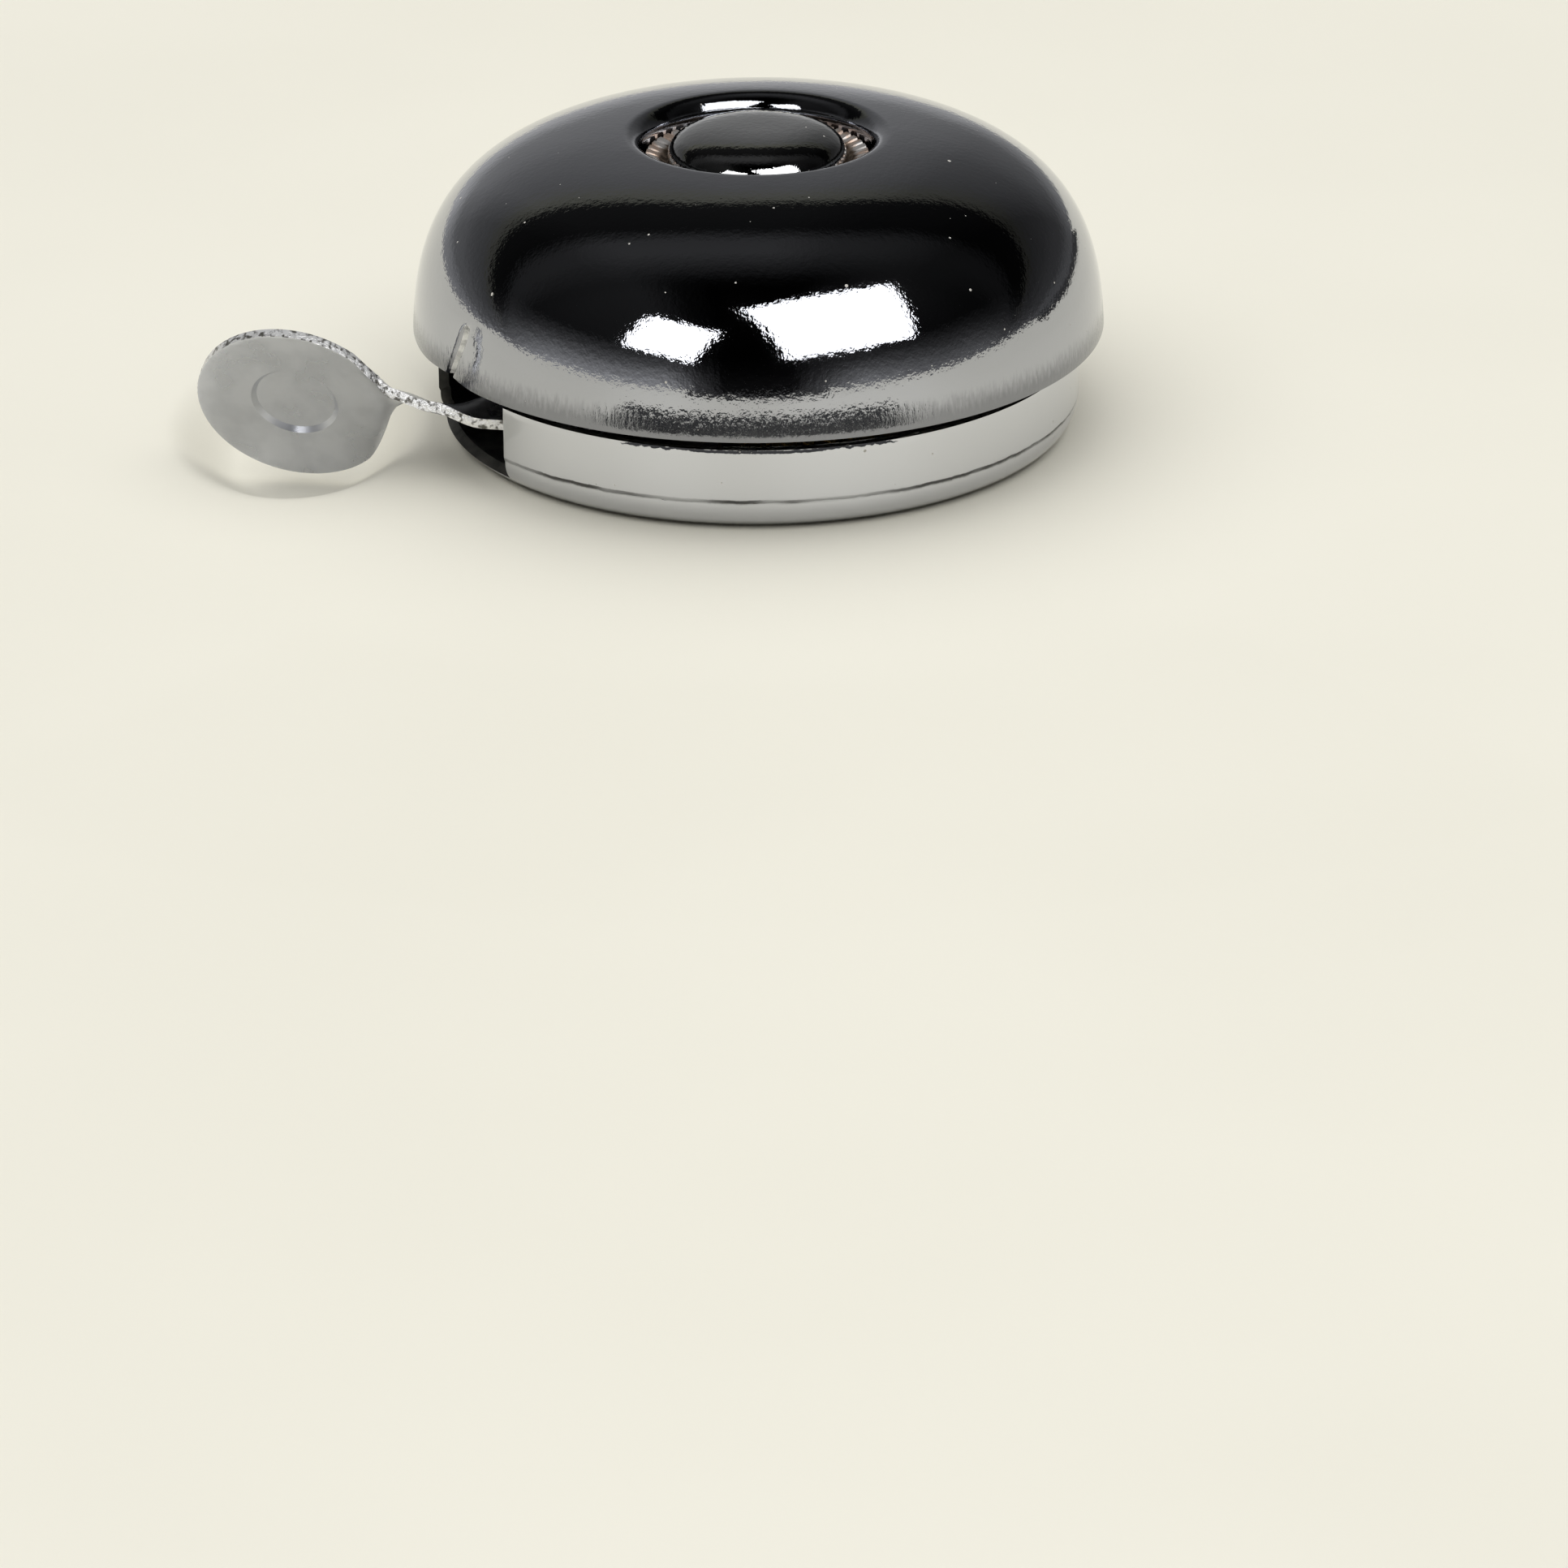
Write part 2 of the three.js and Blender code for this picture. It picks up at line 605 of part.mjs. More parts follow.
function hammerPin() {
  const { spigot, shaft, head, headThick, spare } = HAMMER_PIN;
  const barTop = ROTOR.z + ROTOR.thick;
  const headLow = barTop + HAMMER.lift + HAMMER.thick + spare;
  return turned([
    [0, ROTOR.z + SEAT],
    [spigot, ROTOR.z + SEAT],
    [spigot, barTop + SEAT],
    [shaft, barTop + SEAT],
    [shaft, headLow],
    [head, headLow],
    [head, headLow + headThick / 2],
    [head - headThick, headLow + headThick],
    [0, headLow + headThick],
  ], 20);
}

function hammer() {
  const low = ROTOR.z + ROTOR.thick + HAMMER.lift;
  const high = low + HAMMER.thick;
  const { radius: outer, hole: inner, chamfer } = HAMMER;
  return turned([
    [inner, low],
    [outer - chamfer, low],
    [outer, low + chamfer],
    [outer, high - chamfer],
    [outer - chamfer, high],
    [inner, high],
    [inner, low],
  ], 32);
}

// ---------------------------------------------------------------- handlebar clamp

// One half (y > 0) of the band's section at radius r from the bar's axis: flat top, straight flank,
// then the bar's curve, down to where the ear leaves it at distance earY from the middle.
function bandSide(radius, earY) {
  const halfTurn = Math.atan(BAND.flatHalf / BAND.inner);
  const corner = [radius * Math.tan(halfTurn), radius];
  const touch = Math.PI / 2 - 2 * halfTurn;
  const leave = -Math.PI / 2 + Math.asin(earY / radius);
  const bend = 0.8;
  return [
    [corner[0] - bend, corner[1]],
    [corner[0] + bend * Math.cos(2 * halfTurn), corner[1] - bend * Math.sin(2 * halfTurn)],
    ...ringOfPoints(radius, 14, [0, 0], touch, leave, false),
  ];
}

const EAR = { screwZ: -(BAND.inner + BAND.earLength), end: BAND.width / 2 };

function clampBand() {
  const innerEar = BAND.earGap / 2;
  const outerEar = innerEar + BAND.thick;
  const mirror = (points) => points.map(([y, z]) => [-y, z]).reverse();
  const bottom = EAR.screwZ - EAR.end - 1;
  const outer = bandSide(BAND.inner + BAND.thick, outerEar);
  const inner = bandSide(BAND.inner, innerEar);
  const half = (side, earY) => [...side, [earY, bottom]];
  const section = [
    ...half(outer, outerEar), ...half(inner, innerEar).reverse(),
    ...mirror(half(inner, innerEar).reverse()), ...mirror(half(outer, outerEar)),
  ];
  const band = raised(section, -BAND.width / 2, BAND.width / 2);
  // The section is drawn in y and z and raised along x.
  band.applyMatrix4(new THREE.Matrix4().makeBasis(
    new THREE.Vector3(0, 1, 0), new THREE.Vector3(0, 0, 1), new THREE.Vector3(1, 0, 0),
  ));
  const roundEnd = ringOfPoints(EAR.end, 13, [0, EAR.screwZ], 0, -Math.PI, false);
  const faceOutline = [[-EAR.end, THROUGH], [EAR.end, THROUGH], ...roundEnd];
  const face = raised(faceOutline, -THROUGH, THROUGH).rotateX(Math.PI / 2);
  const screwHole = drill(SCREW.shank + SLIP + SEAT).rotateX(Math.PI / 2).translate(0, 0, EAR.screwZ);
  const rivetHole = (y) => plug(RIVET.shank + SLIP, BAND.inner - 1, BASE_Z + 1).translate(0, y, 0);
  return cut(common(band, face), screwHole, rivetHole(RIVET.y), rivetHole(-RIVET.y));
}

// Clamp fasteners lie along Y: they are turned round Z and then laid down, head towards the rider.
const layDown = (geometry) => geometry.rotateX(Math.PI / 2).translate(0, 0, EAR.screwZ);
const earFace = BAND.earGap / 2 + BAND.thick;

function clampScrew() {
  const seat = earFace + CLAMP_WASHER.thick + 2 * SLIP;
  const crown = seat + SCREW.headHeight;
  const end = seat - SCREW.length;
  const [headChamfer, endChamfer, slotDepth] = [0.9, 0.3, 1.2];
  const screw = turned([
    [0, end],
    [SCREW.shank - endChamfer, end],
    [SCREW.shank, end + endChamfer],
    [SCREW.shank, seat],
    [SCREW.head, seat],
    [SCREW.head, crown - headChamfer],
    [SCREW.head - headChamfer, crown],
    [0, crown],
  ], 24);
  const slot = new THREE.BoxGeometry(3 * SCREW.head, SCREW.slot, 2 * slotDepth).translate(0, 0, crown);
  return layDown(cut(screw, slot));
}

function clampWasher() {
  const low = earFace + SLIP;
  return layDown(tube(CLAMP_WASHER.inner, CLAMP_WASHER.outer, low, low + CLAMP_WASHER.thick));
}

function clampNut() {
  const corner = NUT.acrossFlats / 2 / Math.cos(Math.PI / 6);
  const low = -earFace - SLIP - NUT.thick;
  const body = raised(ringOfPoints(corner, 6), low, low + NUT.thick);
  return layDown(cut(body, drill(SCREW.shank + SLIP)));
}

// Joins the base cup to the band: a head inside the cup, and a low one between the band and the bar.
function clampRivet(y) {
  const underBand = BAND.inner - SEAT;
  const inCup = BASE_Z + SHEET + SEAT;
  return turned([
    [0, underBand - RIVET.headHeight],
    [RIVET.head - 0.3, underBand - RIVET.headHeight],
    [RIVET.head, underBand],
    [RIVET.shank, underBand],
    [RIVET.shank, inCup],
    [RIVET.head, inCup],
    [RIVET.head - 0.5, inCup + RIVET.headHeight],
    [0, inCup + RIVET.headHeight],
  ], 16).translate(0, y, 0);
}

// ---------------------------------------------------------------- assembly

const group = new THREE.Group();

const clamp = groupAt(group, 0, 0, 0);
mesh('clamp_band', clampBand(), ZINC(), clamp);
mesh('clamp_screw', clampScrew(), ZINC(), clamp);
mesh('clamp_washer', clampWasher(), ZINC(), clamp);
mesh('clamp_nut', clampNut(), ZINC(), clamp);
mesh('clamp_rivet_front', clampRivet(-RIVET.y), ZINC(), clamp);
mesh('clamp_rivet_rear', clampRivet(RIVET.y), ZINC(), clamp);

const bell = groupAt(group, 0, 0, BASE_Z);
mesh('base_cup', baseCup(), CHROME(), bell);
mesh('centre_post', centrePost(), ZINC(), bell);
mesh('rotor_thrust_washer', tube(POST.shaft + SLIP, ...THRUST_WASHER), BRASS(), bell);
mesh('rotor_keeper_washer', tube(POST.shaft + SLIP, ...KEEPER_WASHER), BRASS(), bell);
mesh('dome_sleeve', tube(POST.shaft + SLIP, ...DOME_SLEEVE), ZINC(), bell);
mesh('dome_washer', tube(POST.shaft + SLIP, ...DOME_WASHER), ZINC(), bell);
mesh('dome', dome(), CHROME(), bell);
mesh('serrated_washer', serratedWasher(), TARNISHED(), bell);
mesh('cap_nut', capNut(), CHROME(), bell);
mesh('spring_anchor_pin', springAnchorPin(), ZINC(), bell).position.set(...ANCHOR, 0);

const leverPivot = groupAt(bell, ...LEVER.pivot, 0);
mesh('lever_pivot_pin', leverPivotPin(), ZINC(), leverPivot);
mesh('lever_washer', leverWasher(), ZINC(), leverPivot);
mesh('lever_return_spring', returnSpring(), DARK_STEEL(), leverPivot);
mesh('thumb_lever', thumbLever(), CHROME(), leverPivot).position.z = LEVER.middleZ;

const idler = groupAt(bell, ...IDLER_AXIS, 0);
mesh('idler_pin', idlerPin(), ZINC(), idler);
mesh('idler_pinion', idlerPinion(), BRASS(), idler);
mesh('idler_gear', idlerGear(), BRASS(), idler);
mesh('idler_clip', idlerClip(), DARK_STEEL(), idler);

// The rotor group is turned to its rest azimuth, so the pinion's teeth are set back by that angle.
const rotor = groupAt(bell, 0, 0, 0);
rotor.rotation.z = radians(ROTOR_REST);
const idlerFromPost = Math.atan2(IDLER_AXIS[1], IDLER_AXIS[0]);
mesh('rotor_pinion', rotorPinion(idlerFromPost - radians(ROTOR_REST)), BRASS(), rotor);
mesh('rotor_bar', rotorBar(), ZINC(), rotor);
for (const [number, side] of [[1, 1], [2, -1]]) {
  const x = side * ROTOR.pinRadius;
  mesh(`hammer_pin_${number}`, hammerPin(), ZINC(), rotor).position.x = x;
  mesh(`hammer_${number}`, hammer(), DARK_STEEL(), rotor).position.x = x;
}

export default group;
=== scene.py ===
"""Looks of the bicycle bell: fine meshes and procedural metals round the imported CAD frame.

Shapes are drawn in millimetres in the bell's own frame: z up from the underside of the base cup, x and y
from the bell's axis. raw_object() turns them into metres in the row frame.
"""
import json
import math

import bmesh
import bpy
from mathutils import Matrix, Vector, noise
from mathutils.geometry import delaunay_2d_cdt


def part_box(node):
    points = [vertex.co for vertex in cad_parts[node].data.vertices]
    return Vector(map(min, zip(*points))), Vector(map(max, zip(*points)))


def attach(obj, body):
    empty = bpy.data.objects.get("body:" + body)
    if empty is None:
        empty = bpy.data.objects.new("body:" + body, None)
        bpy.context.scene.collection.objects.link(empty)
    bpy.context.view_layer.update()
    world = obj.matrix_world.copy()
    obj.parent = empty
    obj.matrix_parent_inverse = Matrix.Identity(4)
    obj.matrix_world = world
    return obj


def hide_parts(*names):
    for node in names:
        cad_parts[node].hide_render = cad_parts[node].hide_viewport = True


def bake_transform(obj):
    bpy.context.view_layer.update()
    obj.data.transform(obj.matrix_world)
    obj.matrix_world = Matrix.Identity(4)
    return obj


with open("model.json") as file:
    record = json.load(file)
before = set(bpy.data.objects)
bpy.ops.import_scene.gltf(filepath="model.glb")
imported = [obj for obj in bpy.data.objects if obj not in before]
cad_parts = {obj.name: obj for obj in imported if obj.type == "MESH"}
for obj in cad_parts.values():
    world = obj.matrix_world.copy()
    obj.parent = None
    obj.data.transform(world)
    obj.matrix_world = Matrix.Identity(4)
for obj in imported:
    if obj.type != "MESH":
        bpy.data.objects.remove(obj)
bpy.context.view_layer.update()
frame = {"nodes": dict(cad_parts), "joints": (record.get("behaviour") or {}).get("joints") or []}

MM = 0.001
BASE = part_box("base_cup")[0].z / MM  # underside of the base cup, in the row frame
JOINTS = {joint["name"]: joint for joint in frame["joints"]}
PIVOT = Vector(JOINTS["lever_swing"]["pos_m"]).xy / MM
IDLER = Vector(JOINTS["idler_spin"]["pos_m"]).xy / MM


# ---------------------------------------------------------------- driving dimensions, in millimetres

SHEET = 0.9  # the pressed steel of the base cup and the lever
SLIP = 0.15  # clearance between neighbouring pieces

CUP = {"radius": 28.05, "height": 7.5, "bend": 2.4, "line_z": 2.9, "line_step": 0.13}
WINDOW = {"from": 181, "to": 219, "sill": 1.3}  # azimuths in degrees
DOME = {"radius": 30.2, "centre_z": 4.0, "crown": 26.4, "power": 3.3, "rim": 9.0, "thick": 1.0}
RECESS = {"wall": 9.95, "lip": 1.6, "corner": 0.5, "floor": 22.6, "bore": 1.95}
DENT = {  # azimuth in degrees at the rim, slant in degrees for each millimetre up
    "azimuth": 207, "slant": 1.1, "top": 14.4, "crease": 0.6, "crease_half": 0.42, "rubbed_half": 0.45,
    "hollow": 0.45, "hollow_half": 3.2,
}
CAP = {"radius": 7.8, "bottom": 23.4, "shoulder": 23.5, "crown": 26.7, "power": 3.0, "bore": 2.0}
SERRATED = {"rim_in": 8.35, "rim_out": 9.65, "top": 24.15, "teeth": 52, "tooth": 0.5, "floor": 0.4}

LEVER = {
    "z": 5.2, "heading": 168.5, "half": 2.9, "start": (-22.4, -12.64), "strip_from": 0.8,
    "pad_at": 18.0, "pad": 8.5, "hub": 4.2, "bore": 1.75, "neck_fillet": 0.6,
    "boss": 3.45, "boss_foot": 3.85, "boss_depth": 0.38, "dish": 0.55, "pad_rim": -0.35,
}
TWISTS = [(0.8, 5.3, 24), (8.6, 12.2, 40.5)]  # from, to, degrees: gentle along the strip, sharp at the pad
LIFT = {"from": 5.4, "full": 9.2, "down": 9.4, "to": 12.0, "height": 1.0}  # low arch just before the pad
LUG = {"at": (-5.3, -3.95), "size": 1.0, "depth": 1.1}
SPRING = {"wire": 0.3, "radius": 2.9, "low": 1.5, "high": 4.05, "turns": 3.25, "leg": 5.6}

TOOTH = {"pressure": 25, "above": 0.85, "below": 1.15, "backlash": 0.16}  # in degrees and in modules
SECTOR = {"module": 0.8, "teeth": 30, "cut": 5}  # only some of the sector's teeth are cut
IDLER_PINION = {"module": 0.8, "teeth": 10, "z": (4.5, 6.0), "hub": 2.4, "hub_z": (5.8, 7.05), "bore": 1.55}
IDLER_GEAR = {"module": 0.6, "teeth": 36, "z": (6.2, 7.0), "bore": 2.5, "holes": 2.1, "hole_circle": 6.3}
ROTOR_PINION = {"module": 0.6, "teeth": 12, "z": (6.05, 7.4), "hub": 2.75, "hub_z": (7.2, 9.2), "bore": 1.95}
ROTOR = {"z": (7.8, 8.8), "half": 4.2, "end": 3.2, "reach": 19.3, "bore": 2.85, "pin_hole": 1.2}
CLIP = {"outer": 2.6, "inner": 1.55, "z": (7.15, 7.4), "gap": 60}

BAR = 11.3  # inner radius of the clamp band
BAND = {"thick": 1.2, "half_width": 7.0, "flat_half": 8.5, "ear_gap": 2.4, "ear": 7.2, "hole": 2.25}
RIVET = {"y": 5.6, "hole": 1.45}
SCREW = {"shank": 2.0, "head": 3.9, "head_high": 2.5, "length": 11.5, "slot": 1.0, "slot_deep": 1.2}
THREAD = {"pitch": 0.7, "depth": 0.3}
NUT = {"across": 7.0, "thick": 3.2, "bore": 2.15}
EAR_FACE = BAND["ear_gap"] / 2 + BAND["thick"]
SCREW_Z = -(BAR + BAND["ear"])  # of the clamp screw's axis, in the row frame


# ---------------------------------------------------------------- curves and outlines

def polar(radius, degrees, centre=(0, 0)):
    angle = math.radians(degrees)
    return Vector((centre[0] + radius * math.cos(angle), centre[1] + radius * math.sin(angle)))


def arc(radius, start, end, steps, centre=(0, 0)):
    """steps + 1 points of an arc, from one azimuth to another in degrees."""
    return [polar(radius, start + (end - start) * i / steps, centre) for i in range(steps + 1)]


def circle(radius, steps, centre=(0, 0)):
    return arc(radius, 0, 360, steps, centre)[:-1]


def rectangle(half_x, half_y, centre=(0, 0)):
    corners = ((-half_x, -half_y), (half_x, -half_y), (half_x, half_y), (-half_x, half_y))
    return [Vector(centre) + Vector(corner) for corner in corners]


def smooth(t):
    t = min(1.0, max(0.0, t))
    return t * t * (3 - 2 * t)


def mix(a, b, t):
    return a + (b - a) * t


def spread(a, b, steps):
    """steps + 1 even numbers from a to b."""
    return [mix(a, b, k / steps) for k in range(steps + 1)]


def rounded(points, radius, closed=False, steps=4):
    """The same line with each corner turned into a small arc, cut short where the corner's sides are."""
    points = [Vector(p) for p in points]
    count = len(points)
    out = []
    for i, corner in enumerate(points):
        if not closed and i in (0, count - 1):
            out.append(corner)
            continue
        before, after = points[i - 1] - corner, points[(i + 1) % count] - corner
        turn = before.angle(after)
        if turn > math.radians(172):
            out.append(corner)
            continue
        reach = min(radius / math.tan(turn / 2), 0.45 * before.length, 0.45 * after.length)
        actual = reach * math.tan(turn / 2)
        middle = before.normalized() + after.normalized()
        centre = corner + middle.normalized() * (actual / math.sin(turn / 2))
        first, last = corner + before.normalized() * reach, corner + after.normalized() * reach
        sweep = (first - centre).angle_signed(last - centre)
        for k in range(steps + 1):
            spoke = (first - centre).copy()
            spoke.rotate(Matrix.Rotation(-sweep * k / steps, 2))
            out.append(centre + spoke)
    return out


def tooth_points(gear, azimuths):
    """Involute teeth centred on the given azimuths, which are in radians."""
    module, teeth = gear["module"], gear["teeth"]
    pressure, backlash = math.radians(TOOTH["pressure"]), TOOTH["backlash"] * module
    pitch = module * teeth / 2
    base = pitch * math.cos(pressure)
    root, tip = pitch - TOOTH["below"] * module, pitch + TOOTH["above"] * module
    half_at_pitch = math.pi / (2 * teeth) - backlash / (2 * pitch)

    def half(radius):
        flank = math.acos(min(1.0, base / radius))
        return half_at_pitch + (math.tan(pressure) - pressure) - (math.tan(flank) - flank)

    start = max(base, root + 0.05 * module)
    wider_at_root = 1.04
    radii = spread(start, tip, 5)
    points = []
    for azimuth in azimuths:
        flank = [(root, half(start) * wider_at_root)] + [(r, half(r)) for r in radii]
        points += [(r, azimuth - h) for r, h in flank] + [(r, azimuth + h) for r, h in reversed(flank)]
    return [Vector((r * math.cos(a), r * math.sin(a))) for r, a in points]


def gear_outline(gear, first_tooth):
    step = 2 * math.pi / gear["teeth"]
    return tooth_points(gear, [first_tooth + k * step for k in range(gear["teeth"])])


def heading_of(a, b):
    """The direction from a to b, in radians."""
    return math.atan2(b.y - a.y, b.x - a.x)


# ---------------------------------------------------------------- mesh makers

def turned(profile, azimuths, closed=False):
    """Turns (radius, z) points round the z axis, with that many even steps or at the azimuths given in
    degrees. A point on the axis becomes one vertex."""
    if isinstance(azimuths, int):
        azimuths = [360 * k / azimuths for k in range(azimuths)]
    segments = len(azimuths)
    rings, verts, faces = [], [], []
    for radius, z in profile:
        if radius < 1e-4:
            rings.append([len(verts)] * segments)
            verts.append((0, 0, z))
        else:
            rings.append(list(range(len(verts), len(verts) + segments)))
            verts += [(*polar(radius, azimuth), z) for azimuth in azimuths]
    pairs = list(zip(rings, rings[1:]))
    if closed:
        pairs.append((rings[-1], rings[0]))
    for low, high in pairs:
        for k in range(segments):
            n = (k + 1) % segments
            corners = [low[k], low[n], high[n], high[k]]
            distinct = list(dict.fromkeys(corners))
            if len(distinct) > 2:
                faces.append(distinct)
    return verts, faces


def inside(point, loop):
    x, y = point
    hit = False
    for a, b in zip(loop, loop[1:] + loop[:1]):
        if (a[1] > y) != (b[1] > y) and x < a[0] + (y - a[1]) * (b[0] - a[0]) / (b[1] - a[1]):
            hit = not hit
    return hit


def blank(outline, holes, spacing=None, guides=()):
    """Points and triangles of a flat blank with holes. spacing adds points inside, where it will bend, and
    guides are points that keep a pressed edge crisp."""
    loops = [list(outline), *[list(hole) for hole in holes]]
    points, edges = [], []
    for loop in loops:
        first = len(points)
        points += loop
        edges += [(first + k, first + (k + 1) % len(loop)) for k in range(len(loop))]
    points += guides
    on_edge = list(points)
    if spacing:
        xs, ys = [p[0] for p in outline], [p[1] for p in outline]
        row, y = 0, min(ys)
        while y < max(ys):
            x = min(xs) + (spacing / 2 if row % 2 else 0)
            while x < max(xs):
                spot = Vector((x, y))
                if inside(spot, loops[0]) and not any(inside(spot, hole) for hole in loops[1:]):
                    if min((spot - p).length_squared for p in on_edge) > (0.45 * spacing) ** 2:
                        points.append(spot)
                x += spacing
            row, y = row + 1, y + spacing * math.sqrt(3) / 2
    flat = delaunay_2d_cdt([Vector(p) for p in points], edges, [], 0, 1e-6)
    kept = []
    for triangle in flat[2]:
        middle = sum((flat[0][k] for k in triangle), Vector((0, 0))) / 3
        if inside(middle, loops[0]) and not any(inside(middle, hole) for hole in loops[1:]):
            kept.append(tuple(triangle))
    return [Vector(p) for p in flat[0]], kept


def sheet(outline, holes, place, thick, spacing=None, guides=()):
    """A sheet of metal: place(u, v, w) puts a blank's point, w above its middle. Returns the count of
    face faces too, because the faces after it are the sheared edge."""
    points, triangles = blank(outline, holes, spacing, guides)
    count = len(points)
    verts = [place(p.x, p.y, thick / 2) for p in points] + [place(p.x, p.y, -thick / 2) for p in points]
    faces = list(triangles) + [(c + count, b + count, a + count) for a, b, c in triangles]
    used = dict.fromkeys(edge for t in triangles for edge in zip(t, t[1:] + t[:1]))
    sides = [(b, a, a + count, b + count) for a, b in used if (b, a) not in used]
    return verts, faces + sides, len(faces)


def slab(outline, holes, middle, thick):
    """Points and faces of a flat sheet whose middle lies at that height."""
    return sheet(outline, holes, lambda u, v, w: Vector((u, v, middle + w)), thick)[:2]


def swept(path, radius, sides):
    """A round wire along a line of points, with closed ends."""
    verts, faces = [], []
    side = None
    for i, spot in enumerate(path):
        ahead = (path[min(i + 1, len(path) - 1)] - path[max(i - 1, 0)]).normalized()
        side = ahead.orthogonal() if side is None else side - ahead * side.dot(ahead)
        side.normalize()
        other = ahead.cross(side)
        for k in range(sides):
            c, s = polar(radius, 360 * k / sides)
            verts.append(spot + side * c + other * s)
    for i in range(len(path) - 1):
        for k in range(sides):
            n = (k + 1) % sides
            low, high = i * sides, (i + 1) * sides
            faces.append((low + k, low + n, high + n, high + k))
    faces.append(tuple(reversed(range(sides))))
    faces.append(tuple(range(len(verts) - sides, len(verts))))
    return verts, faces


def raw_object(name, verts, faces, merge=None):
    """A mesh object in metres in the row frame, from bell-frame millimetres, with its faces turned out.
    Points that are closer together than merge become one."""
    mesh = bpy.data.meshes.new(name)
    mesh.from_pydata([Vector((x, y, z + BASE)) * MM for x, y, z in verts], [], faces)
    work = bmesh.new()
    work.from_mesh(mesh)
    bmesh.ops.recalc_face_normals(work, faces=work.faces)
    if merge:
        bmesh.ops.remove_doubles(work, verts=work.verts, dist=merge * MM)
        bmesh.ops.delete(work, geom=[v for v in work.verts if not v.link_faces], context="VERTS")
        bmesh.ops.recalc_face_normals(work, faces=work.faces)
    work.to_mesh(mesh)
    work.free()
    obj = bpy.data.objects.new(name, mesh)
    bpy.context.scene.collection.objects.link(obj)
    return obj


def bake_modifiers(obj):
    graph = bpy.context.evaluated_depsgraph_get()
    mesh = bpy.data.meshes.new_from_object(obj.evaluated_get(graph))
    mesh.name = obj.name
    obj.modifiers.clear()
    obj.data = mesh


def bevel(obj, width, angle, segments, material=-1):
    """Rounds the edges that turn by more than angle degrees, in one material if that is given."""
    modifier = obj.modifiers.new("rounding", "BEVEL")
    modifier.material = material
    modifier.width, modifier.segments = width * MM, segments
    modifier.limit_method, modifier.angle_limit = "ANGLE", math.radians(angle)
    bake_modifiers(obj)


def combine(obj, other, operation):
    """Boolean of two objects, which uses the other one up."""
    modifier = obj.modifiers.new(operation.lower(), "BOOLEAN")
    modifier.object, modifier.operation, modifier.solver = other, operation, "EXACT"
    bake_modifiers(obj)
    bpy.data.objects.remove(other)
    return obj


def add_shell(obj, thick, offset, materials):
    """Thickens a surface to sheet: the first material outside, the second inside, and the third on its edges,
    or the first where there is no third."""
    for material in materials:
        obj.data.materials.append(material)
    shell = obj.modifiers.new("sheet", "SOLIDIFY")
    shell.thickness, shell.offset = thick * MM, offset
    shell.use_even_offset = True
    shell.material_offset = 1
    shell.material_offset_rim = len(materials) - 1 if len(materials) > 2 else 0
    bake_modifiers(obj)


def new_piece(obj, body, material=None, sharp=35):
    """Gives a finished mesh its shading, its finish if it has none yet and its body, and hides the CAD node
    that it stands for."""
    if material:
        obj.data.materials.append(material)
    obj.data.shade_smooth()
    obj.data.set_sharp_from_angle(angle=math.radians(sharp))
    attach(obj, body)
    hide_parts(obj.name.replace("fine_", ""))


def section_of(node, lying):
    """The (radius, z) line of a turned CAD node, read from its mesh, and its axis.

    A lying piece is turned round the row frame's Y, and its z is the distance towards the rider.
    """
    low, high = (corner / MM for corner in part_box(node))
    centre = (low + high) / 2
    work = bmesh.new()
    work.from_mesh(frame["nodes"][node].data)
    bmesh.ops.remove_doubles(work, verts=work.verts, dist=2e-6)
    spots = {}
    for vert in work.verts:
        x, y, z = vert.co / MM
        side = (x - centre.x, z - centre.z) if lying else (x - centre.x, y - centre.y)
        height = -y if lying else z - BASE
        spots[vert] = (math.hypot(*side), math.atan2(side[1], side[0]), height)
    widest = max(spots.values(), key=lambda s: (round(s[0], 2), s[1]))
    chosen = [v for v, s in spots.items() if s[0] < 0.01 or abs(s[1] - widest[1]) < 1e-3]
    links = {v: [e.other_vert(v) for e in v.link_edges if e.other_vert(v) in chosen] for v in chosen}
    ends = [v for v in chosen if spots[v][0] < 0.01]
    path = [min(ends, key=lambda v: spots[v][2]) if ends else chosen[0]]
    while True:
        ahead = [v for v in links[path[-1]] if v not in path]
        if not ahead:
            break
        path.append(ahead[0])
    line = [(spots[v][0], spots[v][2]) for v in path]
    work.free()
    return line, centre, not ends


def refined(node, body, material, rounding, segments=96, lying=False):
    """A turned CAD node made again with a fine round surface and small rounded edges."""
    line, centre, closed = section_of(node, lying)
    verts, faces = turned(rounded(line, rounding, closed), segments, closed)
    if lying:
        verts = [(x + centre.x, -z, y + centre.z - BASE) for x, y, z in verts]
    else:
        verts = [(x + centre.x, y + centre.y, z) for x, y, z in verts]
    new_piece(raw_object("fine_" + node, verts, faces), body, material)


# ---------------------------------------------------------------- materials

